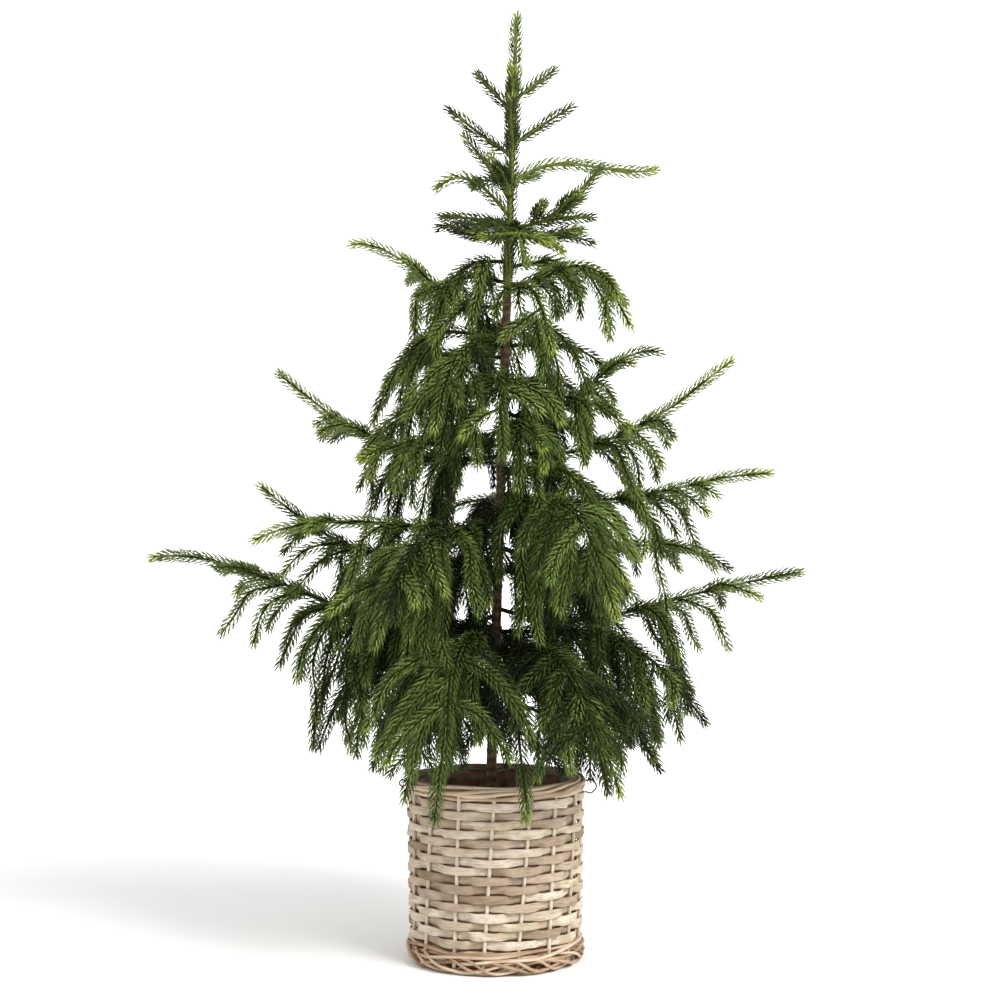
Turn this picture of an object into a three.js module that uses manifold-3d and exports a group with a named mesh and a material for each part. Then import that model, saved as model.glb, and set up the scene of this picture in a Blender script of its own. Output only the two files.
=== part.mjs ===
// Artificial Norfolk Island pine in a split-willow basket.
// Millimetres, +Z up. The origin is the middle of the basket's flat underside, and -Y is the front.
import * as THREE from 'three';
import { mergeVertices } from 'three/addons/utils/BufferGeometryUtils.js';
import Module from 'manifold-3d';

const wasm = await Module();
wasm.setup();

// Driving dimensions of the plant
const HEIGHT = 900;
const GAP = 0.3;
const TRUNK_FOOT_Z = 40;
const TRUNK_TOP_Z = 686;
const TRUNK_FOOT_R = 5.4;
const TRUNK_TOP_R = 4.2;
const TRUNK_SIDES = 10;
const AXIS_X_AT_GROUND = -10;
const LEAN = 0.0335; // sideways run to +X for each millimetre of height

// Driving dimensions of the foliage
const ROPE_TAPER = 0.25; // share of its girth that a rope loses on the way to its tip
const ROPE_CORE_R = 4.8; // needle-covered wire of a bough
const SPRAY_CORE_R = 4.6; // needle-covered wire of a side spray
const NEEDLE_OUT = 4.6; // how far a needle's tip stands off the core
const NEEDLE_AHEAD = 6; // how far the tip lies ahead of its root
const NEEDLE_PITCH = 36; // length of core between two rings of needles
const NEEDLE_SHARE = 0.15; // share of the core's faces that are drawn out into a needle
const SAMPLE = 6; // spacing of the points that keep the masses apart
const ROPE_CLEAR = 11.5; // least distance between the middles of two ropes of different masses
const OWN_CLEAR = 10; // the same within one mass
const NEEDLE_CLEAR = 8.4; // least distance of a needle's tip from the middle of another mass's rope
const OWN_NEEDLE_CLEAR = 5; // the same for the ropes of its own mass
const TRUNK_NEEDLE_CLEAR = 7.4; // the same for the trunk's axis
const BOUGH_ROOT_R = 2.8; // a bough's root at the trunk
const SPRAY_ROOT_R = 1.8; // a side spray's root, sunk in the bough's core
const TRUNK_CLEAR = 12; // least distance of a side spray from the trunk's axis
const SPRAY_STEP = 25; // distance between two pairs of side sprays along a bough
const BOUGH_STEPS = 60; // steps along a bough in which the feet of the side sprays are looked up
const SHORTEST_SPRAY = 40;
const LONGEST_SPRAY = 128;
const SPRAY_START = 12; // a side spray's length grows with its foot's distance from the bough's tip
const SPRAY_GROWTH = 0.6;
const LENGTH_SHARE = [0.72, 1.17]; // the ranges from which each side spray takes its values
const SPREAD_DEG = [38, 64];
const LIFT = [-0.15, 0.3];
const BEND_SHARE = [0.8, 1.2];
const BEND_AT_TIP = 0.3; // share of the droop beside the bare tip, and its gain on the way to the foot
const BEND_GAIN = 0.9;
const MOST_BEND = 0.97;
const LEADER_SPRAY_DROOP = -0.05; // below zero: these sprays curve upwards
const BOUGH_FOOT = 18; // bare foot of a bough beside the trunk
const TRIES = 8;
const SEED = 7;
const SEED_STEP = 101; // between the seeds of two boughs
const DEALS = 24; // how often the needles of a mass may be dealt again
const SOLID_SPRAYS = [true, true, false, true, false]; // of every five side sprays the solid has three

// Driving dimensions of the basket
const BASKET_H = 175;
const RIM_R = 80.6;
const RIM_HALF_W = 6.3;
const RIM_HALF_H = 7.4;
const FOOT_R = 80;
const FOOT_HALF_W = 6;
const FOOT_HALF_H = 12;
const WALL_TOP_R = 83.6;
const WALL_FOOT_R = 81.2;
const WALL_T = 4;
const WEAVE_RELIEF = 1.8;
const WEAVER_EDGES = [0.06, 0.94]; // a weaver's two edges as shares of its row
const ROWS = 16;
const STAKES = 16;
const STAKE_TURN = -94; // azimuth of the first stake, behind which the lowest weaver passes
const FLOOR_T = 6;
const LINER_T = 1.2;
const LINER_BELOW_RIM = 2;
const FILLING_TOP = 138;
const FILLING_EDGE = 133;
const FILLING_SHOULDER = [0.6, 137]; // where the filling's top turns, as a share of its radius and a height
const RIM_RING = { lobes: 4, steps: 32, turns: 12, depth: 0.18 };
const FOOT_RING = { lobes: 3, steps: 32, turns: 9, depth: 0.16 };
const INNER_SIDES = 24;
const WIRE_R = 0.9;
const EAR_ROOT_GAP = 0.4;
const RIGHT_EAR = { side: 1, reach: 9.5, lowZ: 158, highZ: 169 };
const LEFT_EAR = { side: -1, reach: 5, lowZ: 164, highZ: 169 };
const KEEP_OFF_R = 98; // side sprays hang outside this radius
const KEEP_OFF_Z = 184; // or above this height

// Fineness of the joined surfaces
const WELD = 1e-3; // corners nearer than this are one
const SLIVER = 0.05; // edges shorter than this are closed up where ropes join
const EDGE_DIGITS = 4;
const THINNEST = 1e-3; // least height of a triangle

const trunkX = (z) => AXIS_X_AT_GROUND + LEAN * z;
const trunkAxis = (z) => new THREE.Vector3(trunkX(z), 0, z);
const UP = new THREE.Vector3(0, 0, 1);
const radians = THREE.MathUtils.degToRad;

// Finishes
const finish = (color, roughness, metalness = 0) => ({ color, roughness, metalness });
const NEEDLES = finish(0x3f6a26, 0.6);
const BARK = finish(0x8c6b4a, 0.8);
const WILLOW = finish(0xcdbfa5, 0.85);
const RIM_WILLOW = finish(0xcdb190, 0.85);
const FOOT_WILLOW = finish(0xd0a678, 0.8);
const LINER = finish(0x6b4038, 0.5);
const FILLING = finish(0x5c4534, 0.95);
const WIRE = finish(0x4c4c4e, 0.4, 0.9);

// Solids

// A closed geometry as a solid, with only its shared corners kept
function toSolid(geometry) {
  const bare = geometry.clone();
  bare.deleteAttribute('normal');
  bare.deleteAttribute('uv');
  const merged = mergeVertices(bare, WELD);
  return new wasm.Manifold(new wasm.Mesh({
    numProp: 3,
    vertProperties: new Float32Array(merged.attributes.position.array),
    triVerts: new Uint32Array(merged.index.array),
  }));
}

function toGeometry(solid) {
  const { vertProperties, triVerts } = solid.getMesh();
  const geometry = new THREE.BufferGeometry();
  geometry.setAttribute('position', new THREE.BufferAttribute(vertProperties, 3));
  geometry.setIndex(new THREE.BufferAttribute(triVerts, 1));
  geometry.computeVertexNormals();
  return geometry;
}

// Random numbers from 0 to 1 by the multiplicative rule of 16807
function seededNumbers(seed) {
  let state = seed;
  return () => {
    state = (state * 16807) % 2147483647;
    return state / 2147483647;
  };
}

const draw = (random, [low, high]) => low + (high - low) * random();

// Boughs, each as: node, height on the trunk, azimuth, reach, rises at a third, two thirds and the tip,
// length of the tip that bears no side spray, droop of the side sprays
const BOUGHS = [
  ['leader', 738, -6, 138, [21, 16, 13], 150, 0.3],
  ['leader', 722, 176, 44, [28, 46, 64], 60, 0.2],
  ['leader', 732, 95, 84, [14, 24, 30], 55, 0.3],
  ['leader', 727, -104, 62, [12, 18, 20], 50, 0.3],
  ['leader', 700, -22, 92, [3, 20, 48], 60, 0.3],
  ['leader', 708, 170, 70, [28, 40, 31], 46, 0.3],
  ['leader', 690, 22, 86, [2, 4, -2], 48, 0.5],
  ['leader', 691, 192, 68, [-3, 4, 6], 46, 0.4],
  ['leader', 698, 112, 95, [8, 12, 6], 50, 0.4],
  ['leader', 694, -78, 74, [0, -8, -36], 40, 0.6],
  ['tier1_bough1', 628, 178, 147, [3, 37, 56], 86, 0.5],
  ['tier1_bough2', 645, -12, 118, [8, 12, -42], 56, 0.9],
  ['tier1_bough3', 666, 208, 84, [-2, -18, -70], 46, 0.9],
  ['tier1_bough4', 660, 50, 112, [8, 6, -14], 56, 0.8],
  ['tier1_bough5', 634, -66, 98, [4, -10, -60], 46, 0.97],
  ['tier1_bough6', 645, 132, 120, [10, 10, -14], 56, 0.8],
  ['tier2_bough1', 596, 190, 128, [2, -10, -84], 60, 0.95],
  ['tier2_bough2', 585, 24, 108, [4, 2, -20], 56, 0.9],
  ['tier2_bough3', 605, -42, 104, [2, -16, -70], 50, 0.97],
  ['tier2_bough4', 585, 236, 118, [2, -14, -84], 54, 0.97],
  ['tier2_bough5', 598, 90, 145, [10, 8, -22], 66, 0.9],
  ['tier2_bough6', 575, 148, 145, [4, 2, -40], 66, 0.95],
  ['tier3_bough1', 524, 4, 150, [0, 38, 56], 70, 0.9],
  ['tier3_bough2', 534, -30, 132, [4, -4, -30], 60, 0.97],
  ['tier3_bough3', 548, 52, 135, [6, 8, -20], 66, 0.9],
  ['tier3_bough4', 545, 206, 138, [-2, -14, -84], 56, 0.97],
  ['tier3_bough5', 552, -92, 126, [0, -14, -76], 54, 0.97],
  ['tier4_bough1', 490, -5, 218, [-5, 31, 81], 108, 0.9],
  ['tier4_bough2', 481, 180, 213, [-2, 25, 77], 84, 0.95],
  ['tier4_bough3', 490, 222, 168, [0, 0, -16], 56, 0.97],
  ['tier4_bough4', 470, -44, 146, [-2, -16, -116], 66, 0.97],
  ['tier4_bough5', 500, -76, 140, [5, 2, -14], 56, 0.97],
  ['tier4_bough6', 508, 62, 178, [6, 10, -4], 76, 0.95],
  ['tier4_bough7', 495, 122, 185, [6, 8, -14], 76, 0.95],
  ['tier5_bough1', 444, 2, 258, [-8, 6, 20], 80, 0.9],
  ['tier5_bough2', 380, 178, 234, [-2, 22, 76], 80, 0.95],
  ['tier5_bough3', 418, 198, 236, [-6, 0, -18], 80, 0.95],
  ['tier5_bough4', 430, 92, 225, [6, 8, -16], 86, 0.97],
  ['tier5_bough5', 436, -60, 200, [0, -10, -100], 70, 0.97],
  ['tier5_bough6', 407, -122, 205, [0, -12, -96], 70, 0.97],
  ['tier6_bough1', 392, 16, 236, [-5, 2, -22], 66, 0.95],
  ['tier6_bough2', 334, 0, 290, [-8, 14, 34], 96, 0.95],
  ['tier6_bough3', 328, 180, 329, [-8, 28, 52], 110, 0.97],
  ['tier6_bough4', 364, 225, 208, [0, 0, -24], 60, 0.97],
  ['tier6_bough5', 368, 58, 240, [4, 2, -34], 86, 0.97],
  ['tier7_bough1', 312, -22, 206, [2, -12, -78], 66, 0.97],
  ['tier7_bough2', 297, -60, 198, [2, -14, -112], 70, 0.97],
  ['tier7_bough3', 318, 206, 180, [0, -10, -106], 66, 0.97],
  ['tier7_bough4', 305, -104, 205, [4, -12, -140], 80, 0.97],
  ['tier7_bough5', 314, 132, 226, [2, -6, -70], 86, 0.97],
  ['tier7_bough6', 300, 88, 205, [2, -8, -90], 80, 0.97],
  ['tier8_bough1', 268, 2, 158, [2, -16, -88], 60, 0.97],
  ['tier8_bough2', 270, 178, 116, [4, -10, -88], 50, 0.97],
  ['tier8_bough3', 256, 232, 128, [4, -8, -90], 50, 0.97],
  ['tier8_bough4', 266, -78, 133, [6, -6, -112], 56, 0.97],
  ['tier8_bough5', 272, 48, 168, [4, -10, -86], 60, 0.97],
  ['tier8_bough6', 262, 112, 150, [4, -8, -80], 60, 0.97],
  ['tier8_bough7', 256, -34, 140, [4, -10, -88], 56, 0.97],
];

// Short straight sprays round the leader, each as: height, azimuth, length, rise in degrees
const LEADER_SPRAYS = [
  [809, 180, 50, 46],
  [820, 0, 48, 37],
  [812, 90, 46, 40],
  [815, -90, 44, 40],
  [767, 180, 75, 35],
  [778, 0, 67, 32],
  [770, 90, 70, 32],
  [774, -90, 66, 32],
];

// The bough's curve passes its foot on the trunk's axis, its two knees and its tip
function boughCurve([, height, azimuth, reach, rises]) {
  const out = new THREE.Vector3(Math.cos(radians(azimuth)), Math.sin(radians(azimuth)), 0);
  const foot = trunkAxis(height);
  const [knee1, knee2, tip] = rises.map((rise, i) => foot.clone()
    .addScaledVector(out, (reach * (i + 1)) / 3)
    .addScaledVector(UP, rise));
  const handle = (a, b, c, d) => foot.clone().multiplyScalar(a).addScaledVector(knee1, b)
    .addScaledVector(knee2, c).addScaledVector(tip, d);
  const first = handle(-5 / 6, 18 / 6, -9 / 6, 2 / 6);
  const second = handle(2 / 6, -9 / 6, 18 / 6, -5 / 6);
  return new THREE.CubicBezierCurve3(foot, first, second, tip);
}

// A side spray leaves along its heading and bends towards the ground by its droop
function sprayCurve(foot, heading, length, droop) {
  const bent = heading.clone().multiplyScalar(1 - droop).addScaledVector(UP, -droop).normalize();
  const knee = foot.clone().addScaledVector(heading, length / 2);
  const tip = knee.clone().addScaledVector(bent, length / 2);
  return new THREE.QuadraticBezierCurve3(foot, knee, tip);
}

function samplePoints(curve, length) {
  const steps = Math.max(4, Math.floor(length / SAMPLE + 0.5));
  return curve.getPoints(steps);
}

// Keeps every rope's sample points with the name of its mass
const taken = [];
function leastDistance(points, name, sameMass) {
  let least = Infinity;
  for (const other of taken) {
    if ((other.name === name) !== sameMass) continue;
    for (const p of points) {
      least = Math.min(least, p.distanceToSquared(other.point));
    }
  }
  return Math.sqrt(least);
}

function take(points, name) {
  for (const point of points) {
    taken.push({ name, point });
  }
}

const distanceToTrunk = (p) => Math.hypot(p.x - trunkX(p.z), p.y);
const overBasket = (p) => p.z < KEEP_OFF_Z && Math.hypot(p.x, p.y) < KEEP_OFF_R;

// True where a side spray keeps clear of the trunk, the basket and the other ropes
function isFree(points, name) {
  const free = points.slice(2);
  const outer = points.slice(Math.max(2, Math.floor((points.length - 1) / 2)));
  return free.every((p) => distanceToTrunk(p) >= TRUNK_CLEAR && !overBasket(p))
    && leastDistance(free, name, false) >= ROPE_CLEAR
    && leastDistance(outer, name, true) >= OWN_CLEAR;
}

// The pairs of side sprays along one bough, from its bare tip back to its foot
function growSprays(bough, index) {
  const [name, , , , , bareTip, droop] = bough;
  const random = seededNumbers(SEED + SEED_STEP * (index + 1));
  const fine = boughCurve(bough).getPoints(BOUGH_STEPS);
  const run = [0];
  for (let i = 1; i < fine.length; i += 1) {
    run.push(run[i - 1] + fine[i].distanceTo(fine[i - 1]));
  }
  const total = run[run.length - 1];
  const sprays = [];
  let count = 0;
  for (let fromTip = bareTip; fromTip < total - BOUGH_FOOT; fromTip += SPRAY_STEP) {
    const j = run.findIndex((r) => r >= total - fromTip);
    const tangent = fine[Math.min(j + 1, BOUGH_STEPS)].clone().sub(fine[Math.max(j - 1, 0)]).normalize();
    const side = new THREE.Vector3().crossVectors(UP, tangent).normalize();
    const inward = (fromTip - bareTip) / (total - bareTip + 1);
    for (const sign of [1, -1]) {
      const grown = SPRAY_START + SPRAY_GROWTH * fromTip;
      const length = THREE.MathUtils.clamp(grown, SHORTEST_SPRAY, LONGEST_SPRAY) * draw(random, LENGTH_SHARE);
      for (let attempt = 0; attempt < TRIES; attempt += 1) {
        const spread = radians(draw(random, SPREAD_DEG));
        const lift = draw(random, LIFT);
        const pull = droop * (BEND_AT_TIP + BEND_GAIN * inward);
        const bend = Math.min(MOST_BEND, pull * draw(random, BEND_SHARE));
        const heading = tangent.clone().multiplyScalar(Math.cos(spread))
          .addScaledVector(side, sign * Math.sin(spread))
          .addScaledVector(UP, lift)
          .normalize();
        const curve = sprayCurve(fine[j], heading, length, bend);
        const points = samplePoints(curve, length);
        if (isFree(points, name)) {
          take(points.slice(1), name);
          sprays.push({ curve, length, solid: SOLID_SPRAYS[count % SOLID_SPRAYS.length] });
          break;
        }
      }
      count += 1;
    }
  }
  return sprays;
}

// All ropes of the crown by mass: the boughs first, then the side sprays, which keep clear of them
function growCrown() {
  const masses = new Map();
  const rope = (name, curve, length, radius, rootRadius) => {
    if (!masses.has(name)) masses.set(name, []);
    masses.get(name).push({ curve, length, radius, rootRadius });
  };
  for (const bough of BOUGHS) {
    const [name, , , reach] = bough;
    const curve = boughCurve(bough);
    take(samplePoints(curve, reach).slice(1), name);
    rope(name, curve, curve.getLength(), ROPE_CORE_R, BOUGH_ROOT_R);
  }
  const leader = new THREE.LineCurve3(trunkAxis(TRUNK_TOP_Z + GAP), trunkAxis(HEIGHT));
  const leaderLength = HEIGHT - TRUNK_TOP_Z;
  take(samplePoints(leader, leaderLength), 'leader');
  rope('leader', leader, leaderLength, ROPE_CORE_R, TRUNK_TOP_R);
  for (const [height, azimuth, length, rise] of LEADER_SPRAYS) {
    const flat = Math.cos(radians(rise));
    const heading = new THREE.Vector3(
      flat * Math.cos(radians(azimuth)),
      flat * Math.sin(radians(azimuth)),
      Math.sin(radians(rise)),
    );
    const curve = sprayCurve(trunkAxis(height), heading, length, LEADER_SPRAY_DROOP);
    take(samplePoints(curve, length), 'leader');
    rope('leader', curve, length, SPRAY_CORE_R, SPRAY_ROOT_R);
  }
  BOUGHS.forEach((bough, index) => {
    for (const { curve, length, solid } of growSprays(bough, index)) {
      if (solid) rope(bough[0], curve, length, SPRAY_CORE_R, SPRAY_ROOT_R);
    }
  });
  return masses;
}

// A three-sided tapering core round the curve, each ring turned by half a side against the last one,
// with needles drawn out of some of its faces.
// A needle whose tip would come near another mass, the trunk or the basket is left out.
function needledRope({ curve, length, radius, rootRadius }, name, random) {
  const steps = Math.max(2, Math.round(length / NEEDLE_PITCH));
  const frames = curve.computeFrenetFrames(steps, false);
  const roll = random() * 2 * Math.PI;
  const corners = [];
  for (let i = 0; i < steps; i += 1) {
    const centre = curve.getPointAt(i / steps);
    const girth = i === 0 ? rootRadius : radius * (1 - (ROPE_TAPER * i) / steps);
    for (let j = 0; j < 3; j += 1) {
      const angle = roll + ((j + 0.5 * (i % 2)) * 2 * Math.PI) / 3;
      corners.push(centre.clone()
        .addScaledVector(frames.normals[i], girth * Math.cos(angle))
        .addScaledVector(frames.binormals[i], girth * Math.sin(angle)));
    }
  }
  const tip = corners.length;
  corners.push(curve.getPointAt(1));
  const faces = [[0, 2, 1]];
  const drawNeedle = (a, b, c, i) => {
    const [p, q, r] = [corners[a], corners[b], corners[c]];
    const middle = p.clone().add(q).add(r).divideScalar(3);
    const axis = curve.getPointAt((i + 0.5) / steps);
    const out = middle.clone().sub(axis);
    out.addScaledVector(frames.tangents[i], -out.dot(frames.tangents[i])).normalize();
    const point = middle.clone().addScaledVector(out, NEEDLE_OUT)
      .addScaledVector(frames.tangents[i], NEEDLE_AHEAD);
    const clear = distanceToTrunk(point) > TRUNK_NEEDLE_CLEAR
      && !overBasket(point)
      && leastDistance([point], name, false) > NEEDLE_CLEAR
      && leastDistance([point], name, true) > OWN_NEEDLE_CLEAR;
    if (!clear) {
      faces.push([a, b, c]);
      return;
    }
    const n = corners.length;
    corners.push(point);
    faces.push([a, b, n], [b, c, n], [c, a, n]);
  };
  for (let i = 0; i < steps; i += 1) {
    for (let j = 0; j < 3; j += 1) {
      const [a, b] = [3 * i + j, 3 * i + ((j + 1) % 3)];
      const [c, d] = [a + 3, b + 3];
      let halves = [[a, b, tip]];
      if (i < steps - 1) {
        halves = i % 2 ? [[a, b, d], [a, d, c]] : [[a, b, c], [b, d, c]];
      }
      for (const half of halves) {
        if (random() < NEEDLE_SHARE) drawNeedle(...half, i);
        else faces.push(half);
      }
    }
  }
  const geometry = new THREE.BufferGeometry().setFromPoints(corners);
  geometry.setIndex(faces.flat());
  return geometry;
}

// The solid of the trunk, or of the room round it
function trunkSolid(extra, footZ, topZ) {
  const geometry = lathe([
    [0, footZ], [TRUNK_FOOT_R + extra, footZ], [TRUNK_TOP_R + extra, topZ], [0, topZ],
  ], TRUNK_SIDES);
  const shear = new THREE.Matrix4().set(
    1, 0, LEAN, AXIS_X_AT_GROUND,
    0, 1, 0, 0,
    0, 0, 1, 0,
    0, 0, 0, 1,
  );
  return toSolid(geometry.applyMatrix4(shear));
}

// The largest piece of a solid, so that no loose scrap stays
function largestPiece(solid) {
  return solid.decompose().reduce((best, piece) => (piece.volume() > best.volume() ? piece : best));
}

// True where the surface is one closed body that nowhere touches itself along an edge, without slivers
function isOneBody(geometry) {
  const { position } = geometry.attributes;
  const triangle = new THREE.Triangle();
  const corner = new THREE.Vector3();
  const keys = [];
  for (let i = 0; i < position.count; i += 1) {
    corner.fromBufferAttribute(position, i);
    keys.push(corner.toArray().map((value) => value.toFixed(EDGE_DIGITS)).join());
  }
  const faces = geometry.index.array;
  for (let i = 0; i < faces.length; i += 3) {
    triangle.setFromAttributeAndIndices(position, faces[i], faces[i + 1], faces[i + 2]);
    const { a, b, c } = triangle;
    const longest = Math.max(a.distanceTo(b), b.distanceTo(c), c.distanceTo(a));
    if (2 * triangle.getArea() < THINNEST * longest) return false;
  }
  const uses = new Map();
  for (let i = 0; i < faces.length; i += 1) {
    const next = i % 3 === 2 ? i - 2 : i + 1;
    const edge = [keys[faces[i]], keys[faces[next]]].sort().join();
    uses.set(edge, (uses.get(edge) ?? 0) + 1);
  }
  return [...uses.values()].every((count) => count === 2) && toSolid(geometry).decompose().length === 1;
}

// The ropes of a mass joined to one body. Where they leave a flaw, their needles are dealt again.
function massGeometry(name, ropes, trunkRoom) {
  let geometry;
  for (let deal = 1; deal <= DEALS; deal += 1) {
    const random = seededNumbers(SEED * deal + ropes.length);
    const [first, ...rest] = ropes.map((rope) => toSolid(needledRope(rope, name, random)));
    const joined = rest.reduce((sum, rope) => sum.add(rope), first);
    const trimmed = joined.subtract(trunkRoom).simplify(SLIVER);
    geometry = toGeometry(toSolid(toGeometry(largestPiece(trimmed))));
    if (isOneBody(geometry)) break;
  }
  return geometry;
}

// A ring of loosely twisted rods: a lobed oval section that turns as it runs round
function twistedRing({ radius, z, halfWidth, halfHeight, lobes, steps, turns, depth }) {
  const geometry = new THREE.TorusGeometry(radius, 1, lobes * 2, steps);
  const { position, uv } = geometry.attributes;
  for (let i = 0; i < position.count; i += 1) {
    const along = uv.getX(i) * 2 * Math.PI;
    const corner = Math.round(uv.getY(i) * lobes * 2);
    const around = (corner * Math.PI) / lobes + (along * turns) / lobes;
    const lobe = corner % 2 ? 1 - depth : 1;
    const r = radius + halfWidth * lobe * Math.cos(around);
    position.setXYZ(i, r * Math.cos(along), r * Math.sin(along), z + halfHeight * lobe * Math.sin(around));
  }
  return geometry;
}

// The woven wall: each weaver dips behind one stake and bulges over the next, and the rows take turns
function wovenWall(footZ, topZ) {
  const rowHeight = (topZ - footZ) / ROWS;
  const profile = [new THREE.Vector2(WALL_FOOT_R - WALL_T, footZ)];
  for (let row = 0; row < ROWS; row += 1) {
    for (const edge of WEAVER_EDGES) {
      const t = (row + edge) / ROWS;
      const z = footZ + rowHeight * (row + edge);
      profile.push(new THREE.Vector2(THREE.MathUtils.lerp(WALL_FOOT_R, WALL_TOP_R, t), z));
    }
  }
  profile[1].y = footZ;
  profile[profile.length - 1].y = topZ;
  profile.push(new THREE.Vector2(WALL_TOP_R - WALL_T, topZ));
  profile.push(profile[0].clone());
  const geometry = new THREE.LatheGeometry(profile, STAKES * 2).rotateX(Math.PI / 2);
  const { position } = geometry.attributes;
  const corner = new THREE.Vector3();
  for (let i = 0; i < position.count; i += 1) {
    corner.fromBufferAttribute(position, i);
    const ring = i % profile.length;
    if (ring === 0 || ring >= profile.length - 2) continue;
    const row = Math.floor((ring - 1) / 2);
    const step = Math.floor(i / profile.length);
    const bulge = WEAVE_RELIEF * Math.cos(step * Math.PI / 2) * (row % 2 ? 1 : -1);
    const r = Math.hypot(corner.x, corner.y);
    corner.multiply(new THREE.Vector3((r + bulge) / r, (r + bulge) / r, 1));
    position.setXYZ(i, corner.x, corner.y, corner.z);
  }
  return geometry.rotateZ(radians(STAKE_TURN + 90));
}

function lathe(outline, sides) {
  const points = outline.map(([r, z]) => new THREE.Vector2(r, z));
  return new THREE.LatheGeometry(points, sides).rotateX(Math.PI / 2);
}

// A small ear of wire that stands out of the rim
function wireEar({ side, reach, lowZ, highZ }) {
  const rootX = side * (RIM_R + RIM_HALF_W + EAR_ROOT_GAP);
  const outX = rootX + side * reach;
  const midZ = (lowZ + highZ) / 2;
  const path = new THREE.CatmullRomCurve3([
    new THREE.Vector3(rootX, 0, highZ),
    new THREE.Vector3((rootX + outX) / 2, 0, highZ + WIRE_R),
    new THREE.Vector3(outX, 0, midZ),
    new THREE.Vector3((rootX + outX) / 2, 0, lowZ - WIRE_R),
    new THREE.Vector3(rootX, 0, lowZ),
  ]);
  const section = new THREE.Shape().absarc(0, 0, WIRE_R, 0, 2 * Math.PI);
  return new THREE.ExtrudeGeometry(section, {
    steps: 9,
    curveSegments: 2,
    bevelEnabled: false,
    extrudePath: path,
  });
}

const plant = new THREE.Group();

function addPart(name, geometry, { color, roughness, metalness }) {
  const material = new THREE.MeshStandardMaterial({ color, roughness, metalness });
  const mesh = new THREE.Mesh(geometry, material);
  mesh.name = name;
  plant.add(mesh);
}

// Basket
const wallFootZ = 2 * FOOT_HALF_H + GAP;
const wallTopZ = BASKET_H - 2 * RIM_HALF_H - GAP;
const flat = Math.cos(Math.PI / (2 * STAKES)); // a faceted ring's flats lie this much nearer to the axis
const floorR = (FOOT_R - FOOT_HALF_W) * flat - GAP;
const floorEdge = [[0, 0], [floorR, 0], [floorR, FLOOR_T], [0, FLOOR_T]];
addPart('basket_floor', lathe(floorEdge, INNER_SIDES), FOOT_WILLOW);
addPart('basket_foot', twistedRing({
  radius: FOOT_R, z: FOOT_HALF_H, halfWidth: FOOT_HALF_W, halfHeight: FOOT_HALF_H,
  ...FOOT_RING,
}), FOOT_WILLOW);
addPart('basket_wall', wovenWall(wallFootZ, wallTopZ), WILLOW);
addPart('basket_rim', twistedRing({
  radius: RIM_R, z: BASKET_H - RIM_HALF_H, halfWidth: RIM_HALF_W, halfHeight: RIM_HALF_H,
  ...RIM_RING,
}), RIM_WILLOW);

// Plastic liner with its filling, which holds the trunk's foot
const linerTopR = (WALL_TOP_R - WALL_T) * flat - GAP;
const linerTop = wallTopZ - LINER_BELOW_RIM;
const linerFoot = FLOOR_T + GAP;
addPart('liner', lathe([
  [0, linerFoot], [floorR, linerFoot], [linerTopR, linerTop],
  [linerTopR - LINER_T, linerTop], [floorR - LINER_T, linerFoot + LINER_T], [0, linerFoot + LINER_T],
], INNER_SIDES), LINER);
const skin = LINER_T + 2 * GAP;
const fillingFoot = linerFoot + LINER_T + GAP;
const fillingShare = (FILLING_EDGE - fillingFoot) / (linerTop - linerFoot);
const fillingR = THREE.MathUtils.lerp(floorR, linerTopR, fillingShare) - skin;
const filling = toSolid(lathe([
  [0, fillingFoot], [floorR - skin, fillingFoot], [fillingR, FILLING_EDGE],
  [fillingR * FILLING_SHOULDER[0], FILLING_SHOULDER[1]], [0, FILLING_TOP],
], INNER_SIDES));
const trunkRoom = trunkSolid(GAP, TRUNK_FOOT_Z - GAP, TRUNK_TOP_Z);
addPart('filling', toGeometry(filling.subtract(trunkRoom)), FILLING);

// Wire ears on both sides of the rim
addPart('wire_ear_right', wireEar(RIGHT_EAR), WIRE);
addPart('wire_ear_left', wireEar(LEFT_EAR), WIRE);

// Plant
addPart('trunk', toGeometry(trunkSolid(0, TRUNK_FOOT_Z, TRUNK_TOP_Z)), BARK);
for (const [name, ropes] of growCrown()) {
  addPart(name, massGeometry(name, ropes, trunkRoom), NEEDLES);
}

export default plant;
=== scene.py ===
import math

import bpy
import numpy as np
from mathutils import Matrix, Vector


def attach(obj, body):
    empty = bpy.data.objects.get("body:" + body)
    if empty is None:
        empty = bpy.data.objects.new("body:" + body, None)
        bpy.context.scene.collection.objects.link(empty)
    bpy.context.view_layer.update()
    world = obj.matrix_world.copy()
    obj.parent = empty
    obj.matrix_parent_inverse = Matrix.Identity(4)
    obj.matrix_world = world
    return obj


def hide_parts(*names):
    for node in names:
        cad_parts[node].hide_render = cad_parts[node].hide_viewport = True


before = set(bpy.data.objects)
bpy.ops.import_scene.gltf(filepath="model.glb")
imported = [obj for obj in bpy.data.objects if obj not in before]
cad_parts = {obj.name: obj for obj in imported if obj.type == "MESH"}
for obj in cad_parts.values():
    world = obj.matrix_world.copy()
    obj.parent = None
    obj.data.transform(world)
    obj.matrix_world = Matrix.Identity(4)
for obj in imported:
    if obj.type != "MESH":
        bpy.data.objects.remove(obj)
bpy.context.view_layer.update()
scene = bpy.context.scene

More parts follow.
